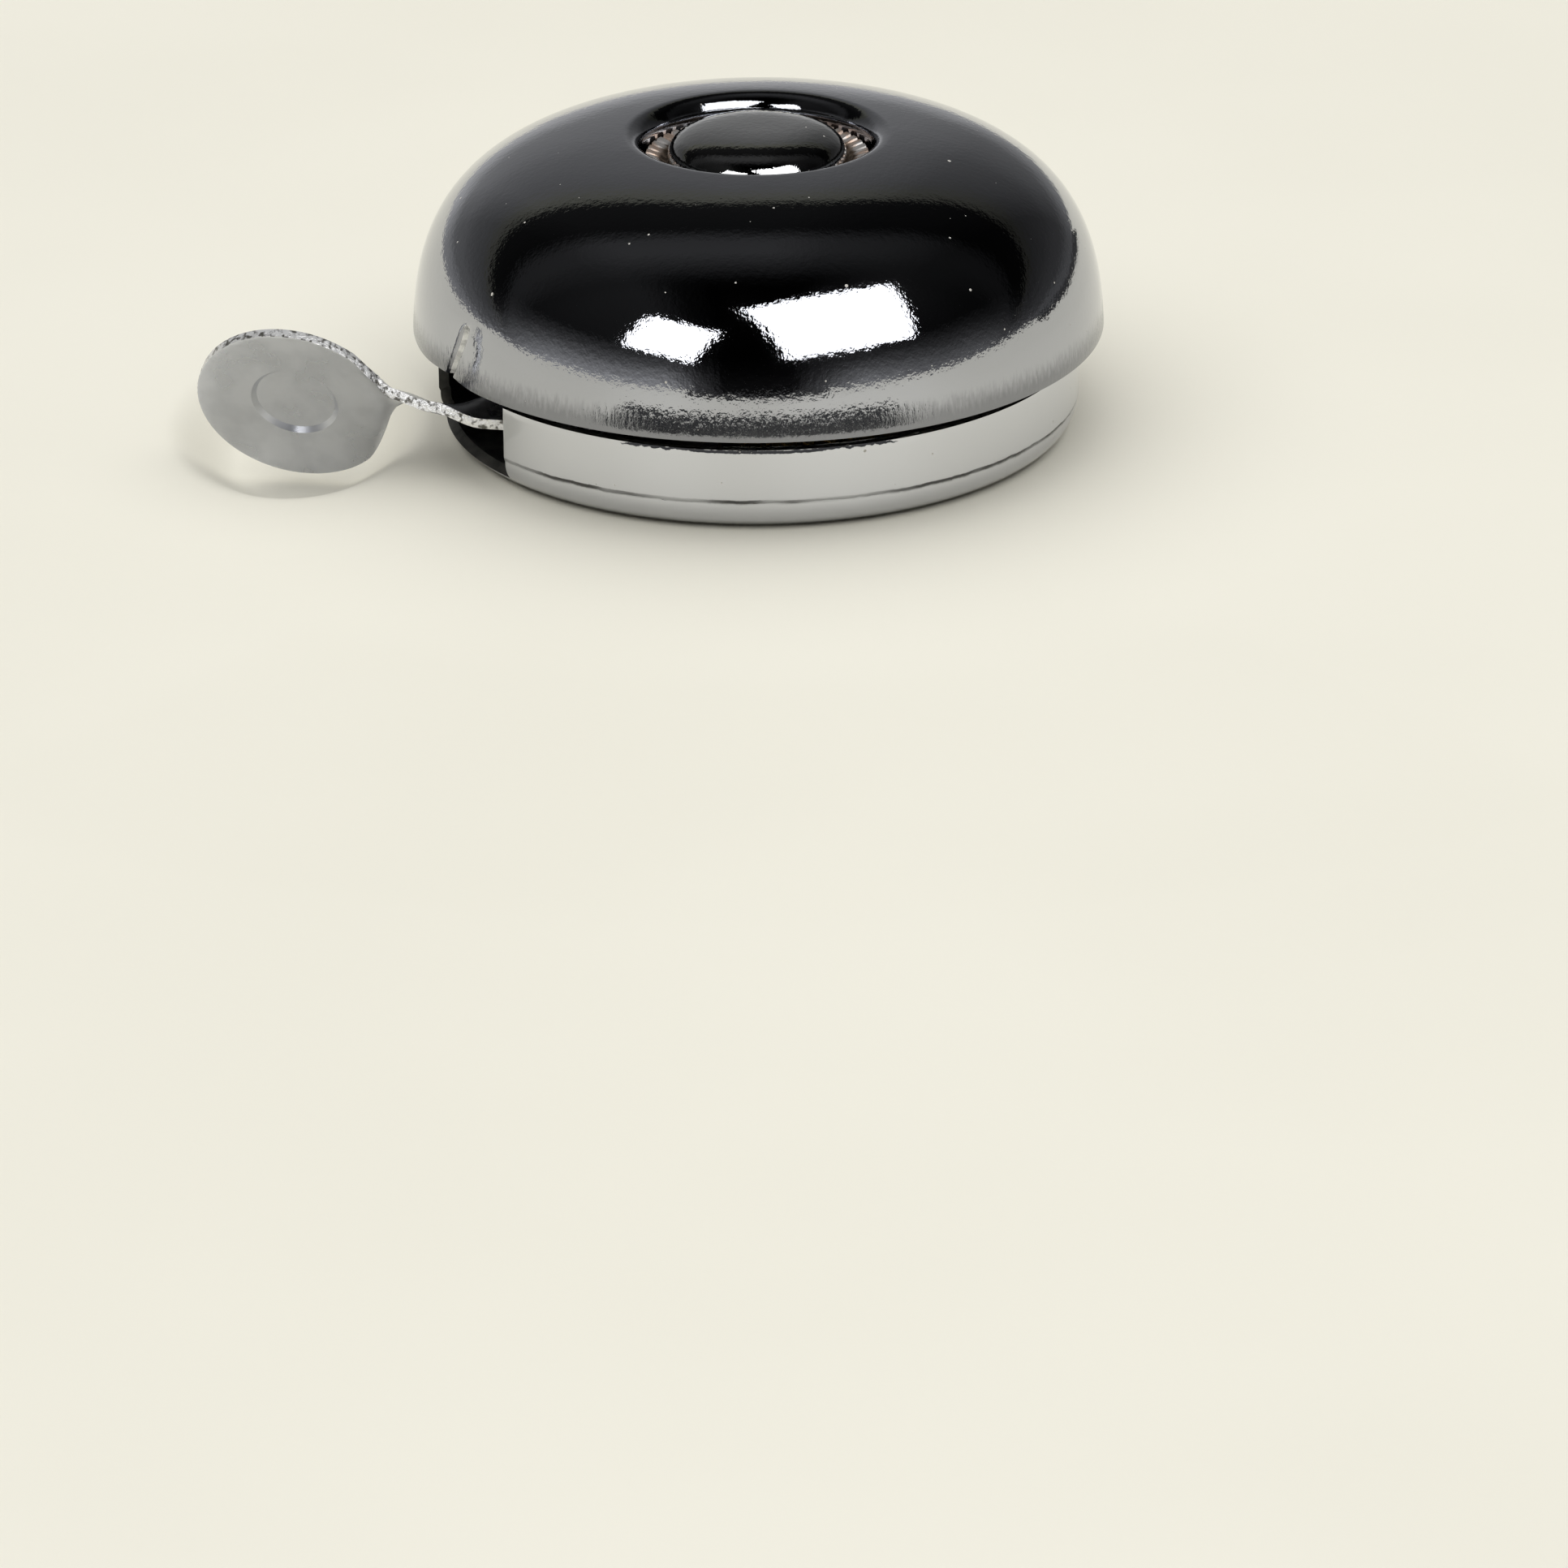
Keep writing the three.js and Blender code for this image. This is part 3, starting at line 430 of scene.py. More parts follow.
class Nodes:
    """Short calls for the nodes that are used here, in one node tree."""

    def __init__(self, tree):
        self.tree = tree

    def link(self, value, socket):
        """Feeds a socket from another one, or sets it to a number or a colour."""
        if isinstance(value, bpy.types.NodeSocket):
            self.tree.links.new(value, socket)
        elif isinstance(value, tuple) and socket.type == "RGBA":
            socket.default_value = (*value, 1)
        else:
            socket.default_value = value

    def add(self, kind, *values, **settings):
        """A new node, its settings, and what its first sockets are fed with."""
        node = self.tree.nodes.new("ShaderNode" + kind)
        for name, setting in settings.items():
            setattr(node, name, setting)
        for value, socket in zip(values, node.inputs):
            self.link(value, socket)
        return node

    def maths(self, operation, *values):
        """The result of one operation on sockets or numbers."""
        return self.add("Math", *values, operation=operation).outputs[0]

    def ramp(self, value, low, high, to_low=0.0, to_high=1.0):
        """to_low where value is low, to_high where it is high, and a smooth step between them."""
        numbers = (value, low, high, to_low, to_high)
        return self.add("MapRange", *numbers, interpolation_type="SMOOTHSTEP").outputs["Result"]

    def blend(self, share, a, b, blend_type="MIX"):
        """Colour a where share is 0 and b where it is 1."""
        node = self.add("Mix", share, data_type="RGBA", blend_type=blend_type)
        self.link(a, node.inputs[6])
        self.link(b, node.inputs[7])
        return node.outputs[2]


class Shader(Nodes):
    """A procedural material, written as a chain of nodes whose places and sizes are in millimetres."""

    def __init__(self, name):
        self.material = bpy.data.materials.new(name)
        self.material.use_nodes = True
        super().__init__(self.material.node_tree)
        self.bsdf = next(n for n in self.tree.nodes if n.type == "BSDF_PRINCIPLED")
        place = self.add("TexCoord")
        self.place = self.scaled(place.outputs["Object"], (1 / MM,) * 3)  # in millimetres

    def scaled(self, vector, factors):
        return self.add("VectorMath", vector, factors, operation="MULTIPLY").outputs[0]

    def noise(self, size, detail=2.0, vector=None, rough=0.5):
        """Noise whose features are about that many millimetres across."""
        node = self.add("TexNoise", vector or self.place)
        node.inputs["Scale"].default_value = 1 / size
        node.inputs["Detail"].default_value = detail
        node.inputs["Roughness"].default_value = rough
        return node.outputs["Fac"]

    def specks(self, spacing, radius):
        """1 in small round spots of different sizes, and 0 between them."""
        node = self.add("TexVoronoi", self.place)
        node.inputs["Scale"].default_value = 1 / spacing
        own = self.add("SeparateColor", node.outputs["Color"])
        size = self.maths("MULTIPLY", self.maths("POWER", own.outputs[0], 3.0), radius / spacing)
        return self.maths("LESS_THAN", node.outputs["Distance"], size)

    def height(self):
        return self.add("SeparateXYZ", self.place).outputs[2]

    def around(self, stretch):
        """Millimetres round the bell's axis and up it, shrunk along the height to draw vertical streaks, and
        the plain height."""
        x, y, z = self.add("SeparateXYZ", self.place).outputs
        turn = self.maths("ARCTAN2", y, x)
        join = self.add("CombineXYZ")
        self.link(self.maths("MULTIPLY", turn, DOME["radius"]), join.inputs[0])
        self.link(self.maths("MULTIPLY", z, stretch), join.inputs[1])
        return join.outputs[0], z

    def relief(self, *layers):
        """Stacks height maps, each given as (height socket, depth in millimetres), into the normal."""
        normal = None
        for height, depth in layers:
            node = self.add("Bump")
            node.inputs["Strength"].default_value = 1.0
            node.inputs["Distance"].default_value = depth * MM
            self.link(height, node.inputs["Height"])
            if normal:
                self.link(normal, node.inputs["Normal"])
            normal = node.outputs["Normal"]
        self.link(normal, self.bsdf.inputs["Normal"])

    def metal(self, colour, roughness, metallic=1.0):
        for name, value in (("Base Color", colour), ("Roughness", roughness), ("Metallic", metallic)):
            self.link(value, self.bsdf.inputs[name])
        return self.material


CHROME_COLOUR = (0.55, 0.555, 0.56)
DUST_COLOUR = (0.62, 0.60, 0.56)


def chrome(name, pebble, colour=CHROME_COLOUR, streaks_and_rim_shade=False, seam=False):
    """Mirror chrome over pressed steel: pebbled skin, slow waves, hairlines, dust specks and faint haze.
    With streaks, draw marks run up from the dome's rim and the colour darkens towards the rim as a painted
    dark reflection. With seam, painted shade lies under the cup's draw line."""
    s = Shader(name)
    coarse = s.noise(0.55, 2.0, None, 0.6)
    fine = s.noise(0.20, 1.0)
    waves = s.noise(5.5, 1.0)
    hairline_place = s.scaled(s.place, (0.25, 3.0, 0.6))
    hairlines = s.ramp(s.noise(0.9, 3.0, hairline_place, 0.7), 0.70, 0.78)
    layers = [(waves, 0.03), (coarse, pebble), (fine, pebble * 0.25), (hairlines, -0.001)]
    haze = s.ramp(s.noise(9.0, 3.0), 0.35, 0.75, 0.03, 0.07)
    if streaks_and_rim_shade or seam:
        along, height = s.around(0.22)
    if streaks_and_rim_shade:
        rim = BASE + DOME["rim"]
        drawn = s.noise(0.30, 3.0, along, 0.6)
        ragged = s.maths("MULTIPLY", drawn, 2.2)
        near_rim = s.ramp(s.maths("SUBTRACT", height, ragged), rim + 1.6, rim - 0.6)
        layers.append((s.maths("MULTIPLY", drawn, near_rim), 0.035))
        haze = s.maths("ADD", haze, s.maths("MULTIPLY", near_rim, 0.10))
        # painted dark reflection: the skirt's colour is darkened to 0.55 of itself towards the rim
        colour = s.blend(near_rim, colour, tuple(0.55 * c for c in colour))
    if seam:
        line = BASE + CUP["line_z"] - 0.03
        ragged = s.maths("MULTIPLY", s.noise(2.5, 4.0, along, 0.7), 0.36)
        strayed = s.maths("SUBTRACT", height, ragged)
        above = s.ramp(strayed, line - 0.58, line - 0.30)
        below = s.ramp(strayed, line - 0.02, line - 0.12)
        patchy = s.ramp(s.noise(7.0, 2.0), 0.36, 0.60, 0.25, 1.0)
        # painted shade: a ragged, patchy dark band under the cup's draw line
        draw_line_shade = s.maths("MULTIPLY", s.maths("MULTIPLY", above, below), patchy)
        haze = s.maths("ADD", haze, s.maths("MULTIPLY", draw_line_shade, 0.25))
        colour = s.blend(draw_line_shade, colour, (0.10, 0.10, 0.10))
    s.relief(*layers)
    dust = s.specks(1.5, 0.16)
    roughness = s.maths("MAXIMUM", haze, s.maths("MULTIPLY", dust, 0.6))
    colour = s.blend(dust, colour, DUST_COLOUR)
    metallic = s.maths("SUBTRACT", 1.0, s.maths("MULTIPLY", dust, 0.85))
    return s.metal(colour, roughness, metallic)


def dull_shaded_inside(name):
    """The unpolished inside and cut edges of the cup and the dome: dull nickel with drawing marks, darkened
    nearly to black as painted shade.
    """
    s = Shader(name)
    blotches = s.ramp(s.noise(2.2, 4.0), 0.35, 0.65)
    s.relief((s.noise(0.3, 3.0, s.scaled(s.place, (1.0, 1.0, 0.3))), 0.02))
    # painted shade: the colour is kept near black, darker than dull nickel itself
    return s.metal(s.blend(blotches, (0.05, 0.05, 0.048), (0.10, 0.098, 0.09)), 0.5)


def satin_chrome(name):
    """The lever's plating: dull from tumbling, with fine scratches and faint cloudy patches."""
    s = Shader(name)
    grain = s.noise(0.14, 2.0)
    long_scratches = s.noise(0.5, 3.0, s.scaled(s.place, (0.12, 2.2, 2.2)), 0.7)
    s.relief((s.noise(3.0, 1.0), 0.02), (long_scratches, 0.0035), (grain, 0.002))
    worn = s.noise(3.4, 3.0)
    colour = s.blend(s.ramp(worn, 0.36, 0.66), (0.57, 0.585, 0.63), (0.64, 0.655, 0.70))
    return s.metal(colour, s.ramp(worn, 0.3, 0.7, 0.26, 0.36))


def sheared_edge(name):
    """The raw edge that the press leaves: torn across the sheet, so that it sparkles, with near-white and
    near-black patches in its colour as painted glints and painted dark reflections.
    """
    s = Shader(name)
    s.relief((s.noise(0.55, 3.0, None, 0.7), 0.22), (s.noise(0.16, 2.0), 0.04))
    tone = s.ramp(s.noise(0.45, 3.0), 0.36, 0.54)
    # painted glints and painted dark reflections: random patches of near-white and near-black colour
    return s.metal(s.blend(tone, (0.16, 0.155, 0.14), (0.97, 0.97, 0.97)), 0.22, 0.55)


def crease_highlight(name):
    """The crease of a dent, slightly rough from the punch, its colour lightened as a painted highlight."""
    s = Shader(name)
    s.relief((s.noise(0.4, 3.0, None, 0.7), 0.05))
    tone = s.ramp(s.noise(0.7, 3.0), 0.38, 0.62)
    # painted highlight: the crease is far lighter than the dome's chrome
    return s.metal(s.blend(tone, (0.62, 0.62, 0.62), (0.92, 0.92, 0.91)), 0.34, 0.6)


def zinc(name):
    """Bright zinc plate: faint blue and straw patches, a fine drawn grain and dull handling marks."""
    s = Shader(name)
    tint = s.ramp(s.noise(2.4, 3.0), 0.35, 0.65)
    colour = s.blend(tint, (0.50, 0.53, 0.57), (0.60, 0.58, 0.52))
    grain = s.noise(0.14, 3.0, s.scaled(s.place, (1.0, 1.0, 0.25)))
    s.relief((s.noise(1.2, 2.0), 0.02), (grain, 0.006))
    return s.metal(colour, s.ramp(s.noise(1.7, 4.0), 0.3, 0.7, 0.22, 0.42))


def brass(name):
    """Stamped brass with tool lines, darker oil in patches and brighter rubbed spots."""
    s = Shader(name)
    oil = s.ramp(s.noise(1.8, 4.0), 0.4, 0.65)
    colour = s.blend(oil, (0.66, 0.49, 0.19), (0.40, 0.28, 0.10))
    lines = s.noise(0.12, 2.0, s.scaled(s.place, (0.3, 1.0, 1.0)))
    s.relief((s.noise(0.9, 2.0), 0.012), (lines, 0.005))
    return s.metal(colour, s.ramp(oil, 0.0, 1.0, 0.20, 0.38))


def dark_steel(name):
    """Oiled dark steel with a blued tinge and fine pits."""
    s = Shader(name)
    tint = s.ramp(s.noise(2.0, 3.0), 0.35, 0.7)
    colour = s.blend(tint, (0.16, 0.17, 0.19), (0.30, 0.28, 0.25))
    s.relief((s.noise(0.7, 3.0), 0.02), (s.specks(0.7, 0.2), -0.01))
    return s.metal(colour, s.ramp(s.noise(1.1, 3.0), 0.3, 0.7, 0.26, 0.44))


def tarnished(name):
    """The ring washer: dull plating gone brown in the grooves, with bright rubbed tooth tops."""
    s = Shader(name)
    top = BASE + SERRATED["top"]
    rubbed = s.ramp(s.height(), top - 0.50, top - 0.26)
    rust = s.blend(s.ramp(s.noise(0.8, 4.0), 0.38, 0.62), (0.05, 0.035, 0.022), (0.16, 0.12, 0.09))
    tint = s.blend(s.ramp(s.noise(1.4, 3.0), 0.40, 0.62), (0.56, 0.54, 0.52), (0.52, 0.39, 0.31))
    s.relief((s.noise(0.35, 2.0), 0.006))
    return s.metal(s.blend(rubbed, rust, tint), s.ramp(rubbed, 0.0, 1.0, 0.5, 0.30), 0.7)


DULL_SHADED = dull_shaded_inside("dull_shaded_inside")
DOME_CHROME = chrome("dome_chrome", pebble=0.013, colour=(0.455, 0.465, 0.50), streaks_and_rim_shade=True)
CUP_CHROME = chrome("cup_chrome", pebble=0.0035, colour=(0.59, 0.60, 0.63), seam=True)
CAP_CHROME = chrome("cap_chrome", pebble=0.022)
CREASE_HIGHLIGHT = crease_highlight("crease_painted_highlight")
SATIN = satin_chrome("lever_satin_chrome")
SHEARED_AND_GLINTS = sheared_edge("sheared_edge")
ZINC = zinc("zinc_plate")
BRASS = brass("stamped_brass")
DARK = dark_steel("oiled_dark_steel")
TARNISHED = tarnished("tarnished_plate")


def with_sheared_edges(name, made, material):
    """The object of a sheet(), in its own finish but for its sheared edge."""
    verts, faces, flat_count = made
    obj = raw_object(name, verts, faces)
    obj.data.materials.append(material)
    obj.data.materials.append(SHEARED_AND_GLINTS)
    for face in obj.data.polygons:
        face.material_index = 1 if face.index >= flat_count else 0
    return obj


# ---------------------------------------------------------------- dome, cap nut and ring washer

def superellipse(radius, low, rise, power, start, end, steps):
    """(radius, z) points of a rounded square curve, from one parameter angle to another in degrees."""
    points = []
    for i in range(steps + 1):
        c, s = polar(1, start + (end - start) * i / steps)
        points.append(Vector((radius * max(c, 0) ** (2 / power), low + rise * max(s, 0) ** (2 / power))))
    return points


def dome_line():
    """The dome's outside from its rim, over the crown and down into the recess, to its bore."""
    rise = DOME["crown"] - DOME["centre_z"]
    share = (DOME["rim"] - DOME["centre_z"]) / rise
    rim_angle = math.degrees(math.asin(share ** (DOME["power"] / 2)))
    lip = RECESS["lip"]
    slope_there = 0.084  # of the crown where the lip starts
    lip_end = RECESS["wall"] + lip * (1 + slope_there)
    lip_angle = math.degrees(math.acos((lip_end / DOME["radius"]) ** (DOME["power"] / 2)))
    line = superellipse(DOME["radius"], DOME["centre_z"], rise, DOME["power"], rim_angle, lip_angle, 70)
    lip_start = 90 + math.degrees(heading_of(line[-1], line[-2]))
    line += arc(lip, lip_start, 180, 20, line[-1] - polar(lip, lip_start))[1:]
    corner = RECESS["corner"]
    corner_centre = (RECESS["wall"] - corner, RECESS["floor"] + corner)
    line += [Vector((RECESS["wall"], RECESS["floor"] + 1.2))]
    line += arc(corner, 0, -90, 5, corner_centre)
    line += [Vector((r, RECESS["floor"])) for r in spread(RECESS["wall"] - corner, RECESS["bore"], 6)[1:]]
    return line


def from_dent(azimuth, z):
    """Degrees from a point to the middle line of the nearer dent, which leans a little as it rises."""
    middle = DENT["azimuth"] + DENT["slant"] * (z - DOME["rim"])
    return min(abs((azimuth - middle + 180 + turn) % 360 - 180) for turn in (0, 180))


def dent_depth(azimuth, z):
    """How far the skirt is pressed in: a narrow crease in the middle of a shallow hollow."""
    across = math.radians(from_dent(azimuth, z)) * DOME["radius"]
    top = DENT["top"]
    crease = DENT["crease"] * smooth((top - z) / 0.9) * math.exp(-(across / DENT["crease_half"]) ** 2)
    hollow = DENT["hollow"] * smooth((top + 0.6 - z) / 3.5) * math.exp(-(across / DENT["hollow_half"]) ** 2)
    return crease + hollow


def dome_azimuths():
    """Even steps, with finer ones across the two dents."""
    fine, coarse = 0.16, 0.8
    azimuths = []
    for middle in (DENT["azimuth"] - 180, DENT["azimuth"]):
        azimuths += [middle + k * fine for k in range(-25, 25)]
        azimuths += [middle + 25 * fine + k * coarse for k in range(215)]
    return azimuths


def make_dome():
    verts, faces = turned(dome_line(), dome_azimuths())
    shaped = []
    for x, y, z in verts:
        radius, azimuth = math.hypot(x, y), math.degrees(math.atan2(y, x))
        to_dent = from_dent(azimuth, DOME["rim"])
        lean = DENT["slant"] * (min(z, DENT["top"] + 1) - DOME["rim"])
        azimuth += lean * smooth((50 - to_dent) / 45)  # the columns of the mesh lean with the dent
        sunk = dent_depth(azimuth, z) if radius > RECESS["wall"] + 5 else 0
        shaped.append((*polar(radius - sunk, azimuth), z))
    obj = raw_object("fine_dome", shaped, faces)
    add_shell(obj, DOME["thick"], -1, [DOME_CHROME, DULL_SHADED])
    bevel(obj, 0.2, 50, 3)
    # the crease faces take the painted highlight
    obj.data.materials.append(CREASE_HIGHLIGHT)
    for face in obj.data.polygons:
        x, y, z = face.center / MM
        azimuth = math.degrees(math.atan2(y, x))
        across = math.radians(from_dent(azimuth, z - BASE)) * DOME["radius"]
        if face.material_index == 0 and across < DENT["rubbed_half"] and z - BASE < DENT["top"] - 0.2:
            face.material_index = len(obj.data.materials) - 1
    new_piece(obj, "root")


def make_cap_nut():
    rise = CAP["crown"] - CAP["shoulder"]
    bore_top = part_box("centre_post")[1].z / MM - BASE + 0.2
    line = [(CAP["bore"], CAP["bottom"]), (CAP["radius"] - 0.15, CAP["bottom"])]
    line += superellipse(CAP["radius"], CAP["shoulder"], rise, CAP["power"], 0, 90, 48)
    line += [(0, bore_top), (CAP["bore"], bore_top)]
    obj = raw_object("fine_cap_nut", *turned(line, 192, True))
    new_piece(obj, "root", CAP_CHROME)


def make_serrated_washer():
    """A cup washer whose upturned rim is cut with radial teeth that fall away towards the cap nut."""
    rim_in, rim_out, top = SERRATED["rim_in"], SERRATED["rim_out"], SERRATED["top"]
    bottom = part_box("serrated_washer")[0].z / MM - BASE
    floor = bottom + SERRATED["floor"]
    fall = 0.5  # of the teeth, towards the cap nut
    crest = [(mix(rim_out, rim_in, k / 6), top - fall * (k / 6) ** 1.5) for k in range(7)]
    bore, middle, fold_out, fold_in = 1.95, 5.0, 0.3, 0.35
    line = [(bore, bottom), (middle, bottom), (rim_out - fold_out, bottom), (rim_out, bottom + fold_out)]
    line += [(rim_out, top - 0.6), *crest]
    line += [(rim_in, floor + fold_in), (rim_in - fold_in, floor), (middle, floor), (bore, floor)]
    per_tooth = 12
    verts, faces = turned(line, SERRATED["teeth"] * per_tooth, True)
    cut_from = top - 0.55
    shaped = []
    for x, y, z in verts:
        phase = SERRATED["teeth"] * math.atan2(y, x)
        groove = smooth(-0.55 - 1.5 * math.cos(phase))
        high = smooth((z - cut_from) / 0.3) if math.hypot(x, y) > rim_in - 0.01 else 0
        shaped.append((x, y, z - SERRATED["tooth"] * groove * high))
    obj = raw_object("fine_serrated_washer", shaped, faces)
    new_piece(obj, "root", TARNISHED, sharp=50)


# ---------------------------------------------------------------- base cup

def floor_holes():
    """Centre and radius of each hole in the base cup's floor, from the pieces that pass through it."""
    radii = {
        "centre_post": 1.8, "lever_pivot_pin": 1.2, "idler_pin": 1.2, "spring_anchor_pin": 0.8,
        "clamp_rivet_front": 1.3, "clamp_rivet_rear": 1.3,
    }
    holes = []
    for node, radius in radii.items():
        low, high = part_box(node)
        holes.append((((low + high) / 2 / MM).xy, radius + SLIP))
    return holes


def wander(x, y):
    """How far the draw line strays up or down there: long waves with short ones on them."""
    return 0.16 * noise.noise((x * 0.35, y * 0.35, 1)) + 0.09 * noise.noise((x * 1.6, y * 1.6, 2))


def make_base_cup():
    """The middle surface of the cup, with the window and the holes left out, thickened to sheet. Its wall
    stands a little proud of the bend, above a ragged line that the drawing die left."""
    per_degree = 2
    segments = 360 * per_degree
    half = SHEET / 2
    line_z, step = CUP["line_z"], CUP["line_step"]
    bend_at = CUP["radius"] - CUP["bend"] - step
    bend = arc(CUP["bend"] - half, -90, 0, 10, (bend_at, CUP["bend"]))
    sill = min(range(len(bend)), key=lambda i: abs(bend[i].y - WINDOW["sill"]))
    fine = 0.06  # rows of the mesh at the line
    heights = [CUP["bend"] + 0.1] + [line_z + fine * k for k in range(-4, 5)]
    heights += spread(line_z + 0.5, CUP["height"], 6)
    wall = [Vector((CUP["radius"] - half, z)) for z in heights]
    verts, faces = turned(bend + wall, segments)
    for k in range(len(bend) * segments, len(verts)):
        x, y, z = verts[k]
        thinner = step * (1 - smooth((z - line_z - wander(x, y)) / 0.22 + 0.5))
        scale = 1 - thinner / math.hypot(x, y)
        verts[k] = (x * scale, y * scale, z)
    kept = []
    for k, face in enumerate(faces):
        row, column = divmod(k, segments)
        in_window = WINDOW["from"] <= column / per_degree < WINDOW["to"] and row >= sill
        if not in_window:
            kept.append(face)
    ring = [Vector(verts[k][:2]) for k in range(segments)]
    holes = [circle(radius, 32, centre) for centre, radius in floor_holes()]
    points, triangles = blank(ring, holes)
    first = len(verts)
    verts += [(p.x, p.y, half) for p in points]
    kept += [tuple(first + k for k in triangle) for triangle in triangles]
    obj = raw_object("fine_base_cup", verts, kept, merge=0.002)
    add_shell(obj, SHEET, 0, [CUP_CHROME, DULL_SHADED, CUP_CHROME])
    for face in obj.data.polygons:
        if face.material_index == 2 and face.center.z / MM - BASE < CUP["height"] - 0.05:
            face.material_index = 1  # the cut faces of the window, dark as painted shade
    bevel(obj, 0.16, 50, 3)
    new_piece(obj, "root")


# ---------------------------------------------------------------- thumb lever

HEADING = polar(1, LEVER["heading"])
SIDEWAYS = Vector((HEADING.y, -HEADING.x))  # towards the strip's rear edge
STRIP_START = Vector(LEVER["start"])


def in_strip(point):
    """A point given from the lever's pivot, as distances along and across the strip."""
    offset = Vector(point) + PIVOT - STRIP_START
    return Vector((offset.dot(HEADING), offset.dot(SIDEWAYS)))


def lever_outline():
    """The flat blank: sector teeth, hub, strip, a small fillet into the round pad, and back."""
    step = 2 * math.pi / SECTOR["teeth"]
    towards_idler = heading_of(PIVOT, IDLER)
    azimuths = [towards_idler + (k - 1) * step for k in range(SECTOR["cut"])]
    root = SECTOR["module"] * (SECTOR["teeth"] / 2 - TOOTH["below"])
    first, last = azimuths[0] - step / 2, azimuths[-1] + step / 2
    plate = [Vector((root * math.cos(first), root * math.sin(first)))]
    plate += tooth_points(SECTOR, azimuths)
    plate += [Vector((root * math.cos(last), root * math.sin(last)))]
    plate += arc(LEVER["hub"], 75, 165, 16)
    line = [in_strip(p) for p in plate]
    half, pad, fillet = LEVER["half"], LEVER["pad"], LEVER["neck_fillet"]
    reach = math.sqrt((pad + fillet) ** 2 - (half + fillet) ** 2)
    fillet_at = LEVER["pad_at"] - reach
    turn = math.degrees(math.atan2(half + fillet, reach))
    strip_from, steps = LEVER["strip_from"], 14
    line += [Vector((-4, half))]
    line += [Vector((u, half)) for u in spread(strip_from, fillet_at, steps)[:-1]]
    line += arc(fillet, -90, -turn, 5, (fillet_at, half + fillet))
    line += arc(pad, 180 - turn, -180 + turn, 96, (LEVER["pad_at"], 0))[1:-1]
    line += arc(fillet, turn, 90, 5, (fillet_at, -half - fillet))
    line += [Vector((u, -half)) for u in spread(fillet_at, strip_from, steps)[1:]]
    line += [Vector((-9, -half)), Vector((-11.5, -half + 1))]
    return line


def pad_height(radius):
    """Height of the pad's middle surface: a flat boss pressed into its lower side, in a shallow dish."""
    boss, foot, depth = LEVER["boss"], LEVER["boss_foot"], LEVER["boss_depth"]
    dish = LEVER["pad_rim"] + LEVER["dish"] * (1 - (radius / LEVER["pad"]) ** 2)
    ramp = min(1.0, max(0.0, (radius - boss) / (foot - boss)))
    return dish + depth * (1 - ramp)


def boss_rings():
    """Points round the boss's edge and foot, so that the mesh follows them."""
    boss, foot = LEVER["boss"], LEVER["boss_foot"]
    radii = [boss - 0.25, boss, (boss + foot) / 2, foot, foot + 0.25]
    return [p for radius in radii for p in circle(radius, 72, (LEVER["pad_at"], 0))]


def twist_at(along):
    """Total twist in degrees, that far along the strip."""
    return sum(turn * smooth((along - low) / (high - low)) for low, high, turn in TWISTS)


def lift_at(along):
    """Height of the low arch, that far along the strip."""
    rise = smooth((along - LIFT["from"]) / (LIFT["full"] - LIFT["from"]))
    return LIFT["height"] * rise * (1 - smooth((along - LIFT["down"]) / (LIFT["to"] - LIFT["down"])))


def on_lever(along, across, up):
    """Puts a point of the flat blank into the twisted, dished lever."""
    pad, from_pad = LEVER["pad"], math.hypot(along - LEVER["pad_at"], across)
    in_pad = smooth((pad + 0.6 - from_pad) / 1.6)  # the pad itself doesn't twist
    angle = math.radians(mix(twist_at(along), twist_at(LEVER["pad_at"]), in_pad))
    dished = smooth((along - LEVER["pad_at"] + pad + 1) / 4.5)  # the dish fades out in the neck
    up += pad_height(from_pad) * dished if from_pad < pad + 0.01 else 0
    flat = across * math.cos(angle) + up * math.sin(angle)
    height = up * math.cos(angle) - across * math.sin(angle) + lift_at(along)
    place = STRIP_START + along * HEADING + flat * SIDEWAYS
    return Vector((place.x, place.y, LEVER["z"] + height))


def make_thumb_lever():
    bore = [in_strip(p) for p in circle(LEVER["bore"], 32)]
    spacing = 0.42
    pressed = sheet(lever_outline(), [bore], on_lever, SHEET, spacing, boss_rings())
    obj = with_sheared_edges("fine_thumb_lever", pressed, SATIN)
    bevel(obj, 0.16, 50, 2, 1)
    half, deep, overlap = LUG["size"] / 2, SHEET / 2 + LUG["depth"], 0.05
    outline = rounded(rectangle(half, half, Vector(LUG["at"]) + PIVOT), 0.2, True)
    lug = slab(outline, [], LEVER["z"] - deep / 2 - overlap, deep + 2 * overlap)
    combine(obj, raw_object("lug", *lug), "UNION")
    new_piece(obj, "lever", sharp=38)


def make_return_spring():
    """A torsion spring round the lever's pivot, with a leg at its lower end and one at its upper end."""
    per_turn = 28
    radius, low, high, leg = SPRING["radius"], SPRING["low"], SPRING["high"], SPRING["leg"]
    steps = round(SPRING["turns"] * per_turn)
    path = [Vector((radius, leg * k / 4, low)) for k in (4, 3, 2, 1)]
    for i in range(steps + 1):
        path.append(Vector((*polar(radius, -360 * i / per_turn), mix(low, high, i / steps))))
    last = path[-1]
    path += [last - Vector((leg * k / 4, 0, 0)) for k in (1, 2, 3, 4)]
    path = [spot + Vector((*PIVOT, 0)) for spot in path]
    obj = raw_object("fine_lever_return_spring", *swept(path, SPRING["wire"], 14))
    obj.data.materials.append(DARK)
    obj.data.shade_smooth()
    obj.data.set_sharp_from_angle(angle=math.radians(50))
    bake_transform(obj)
    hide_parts("lever_return_spring")


# ---------------------------------------------------------------- gears and rotor

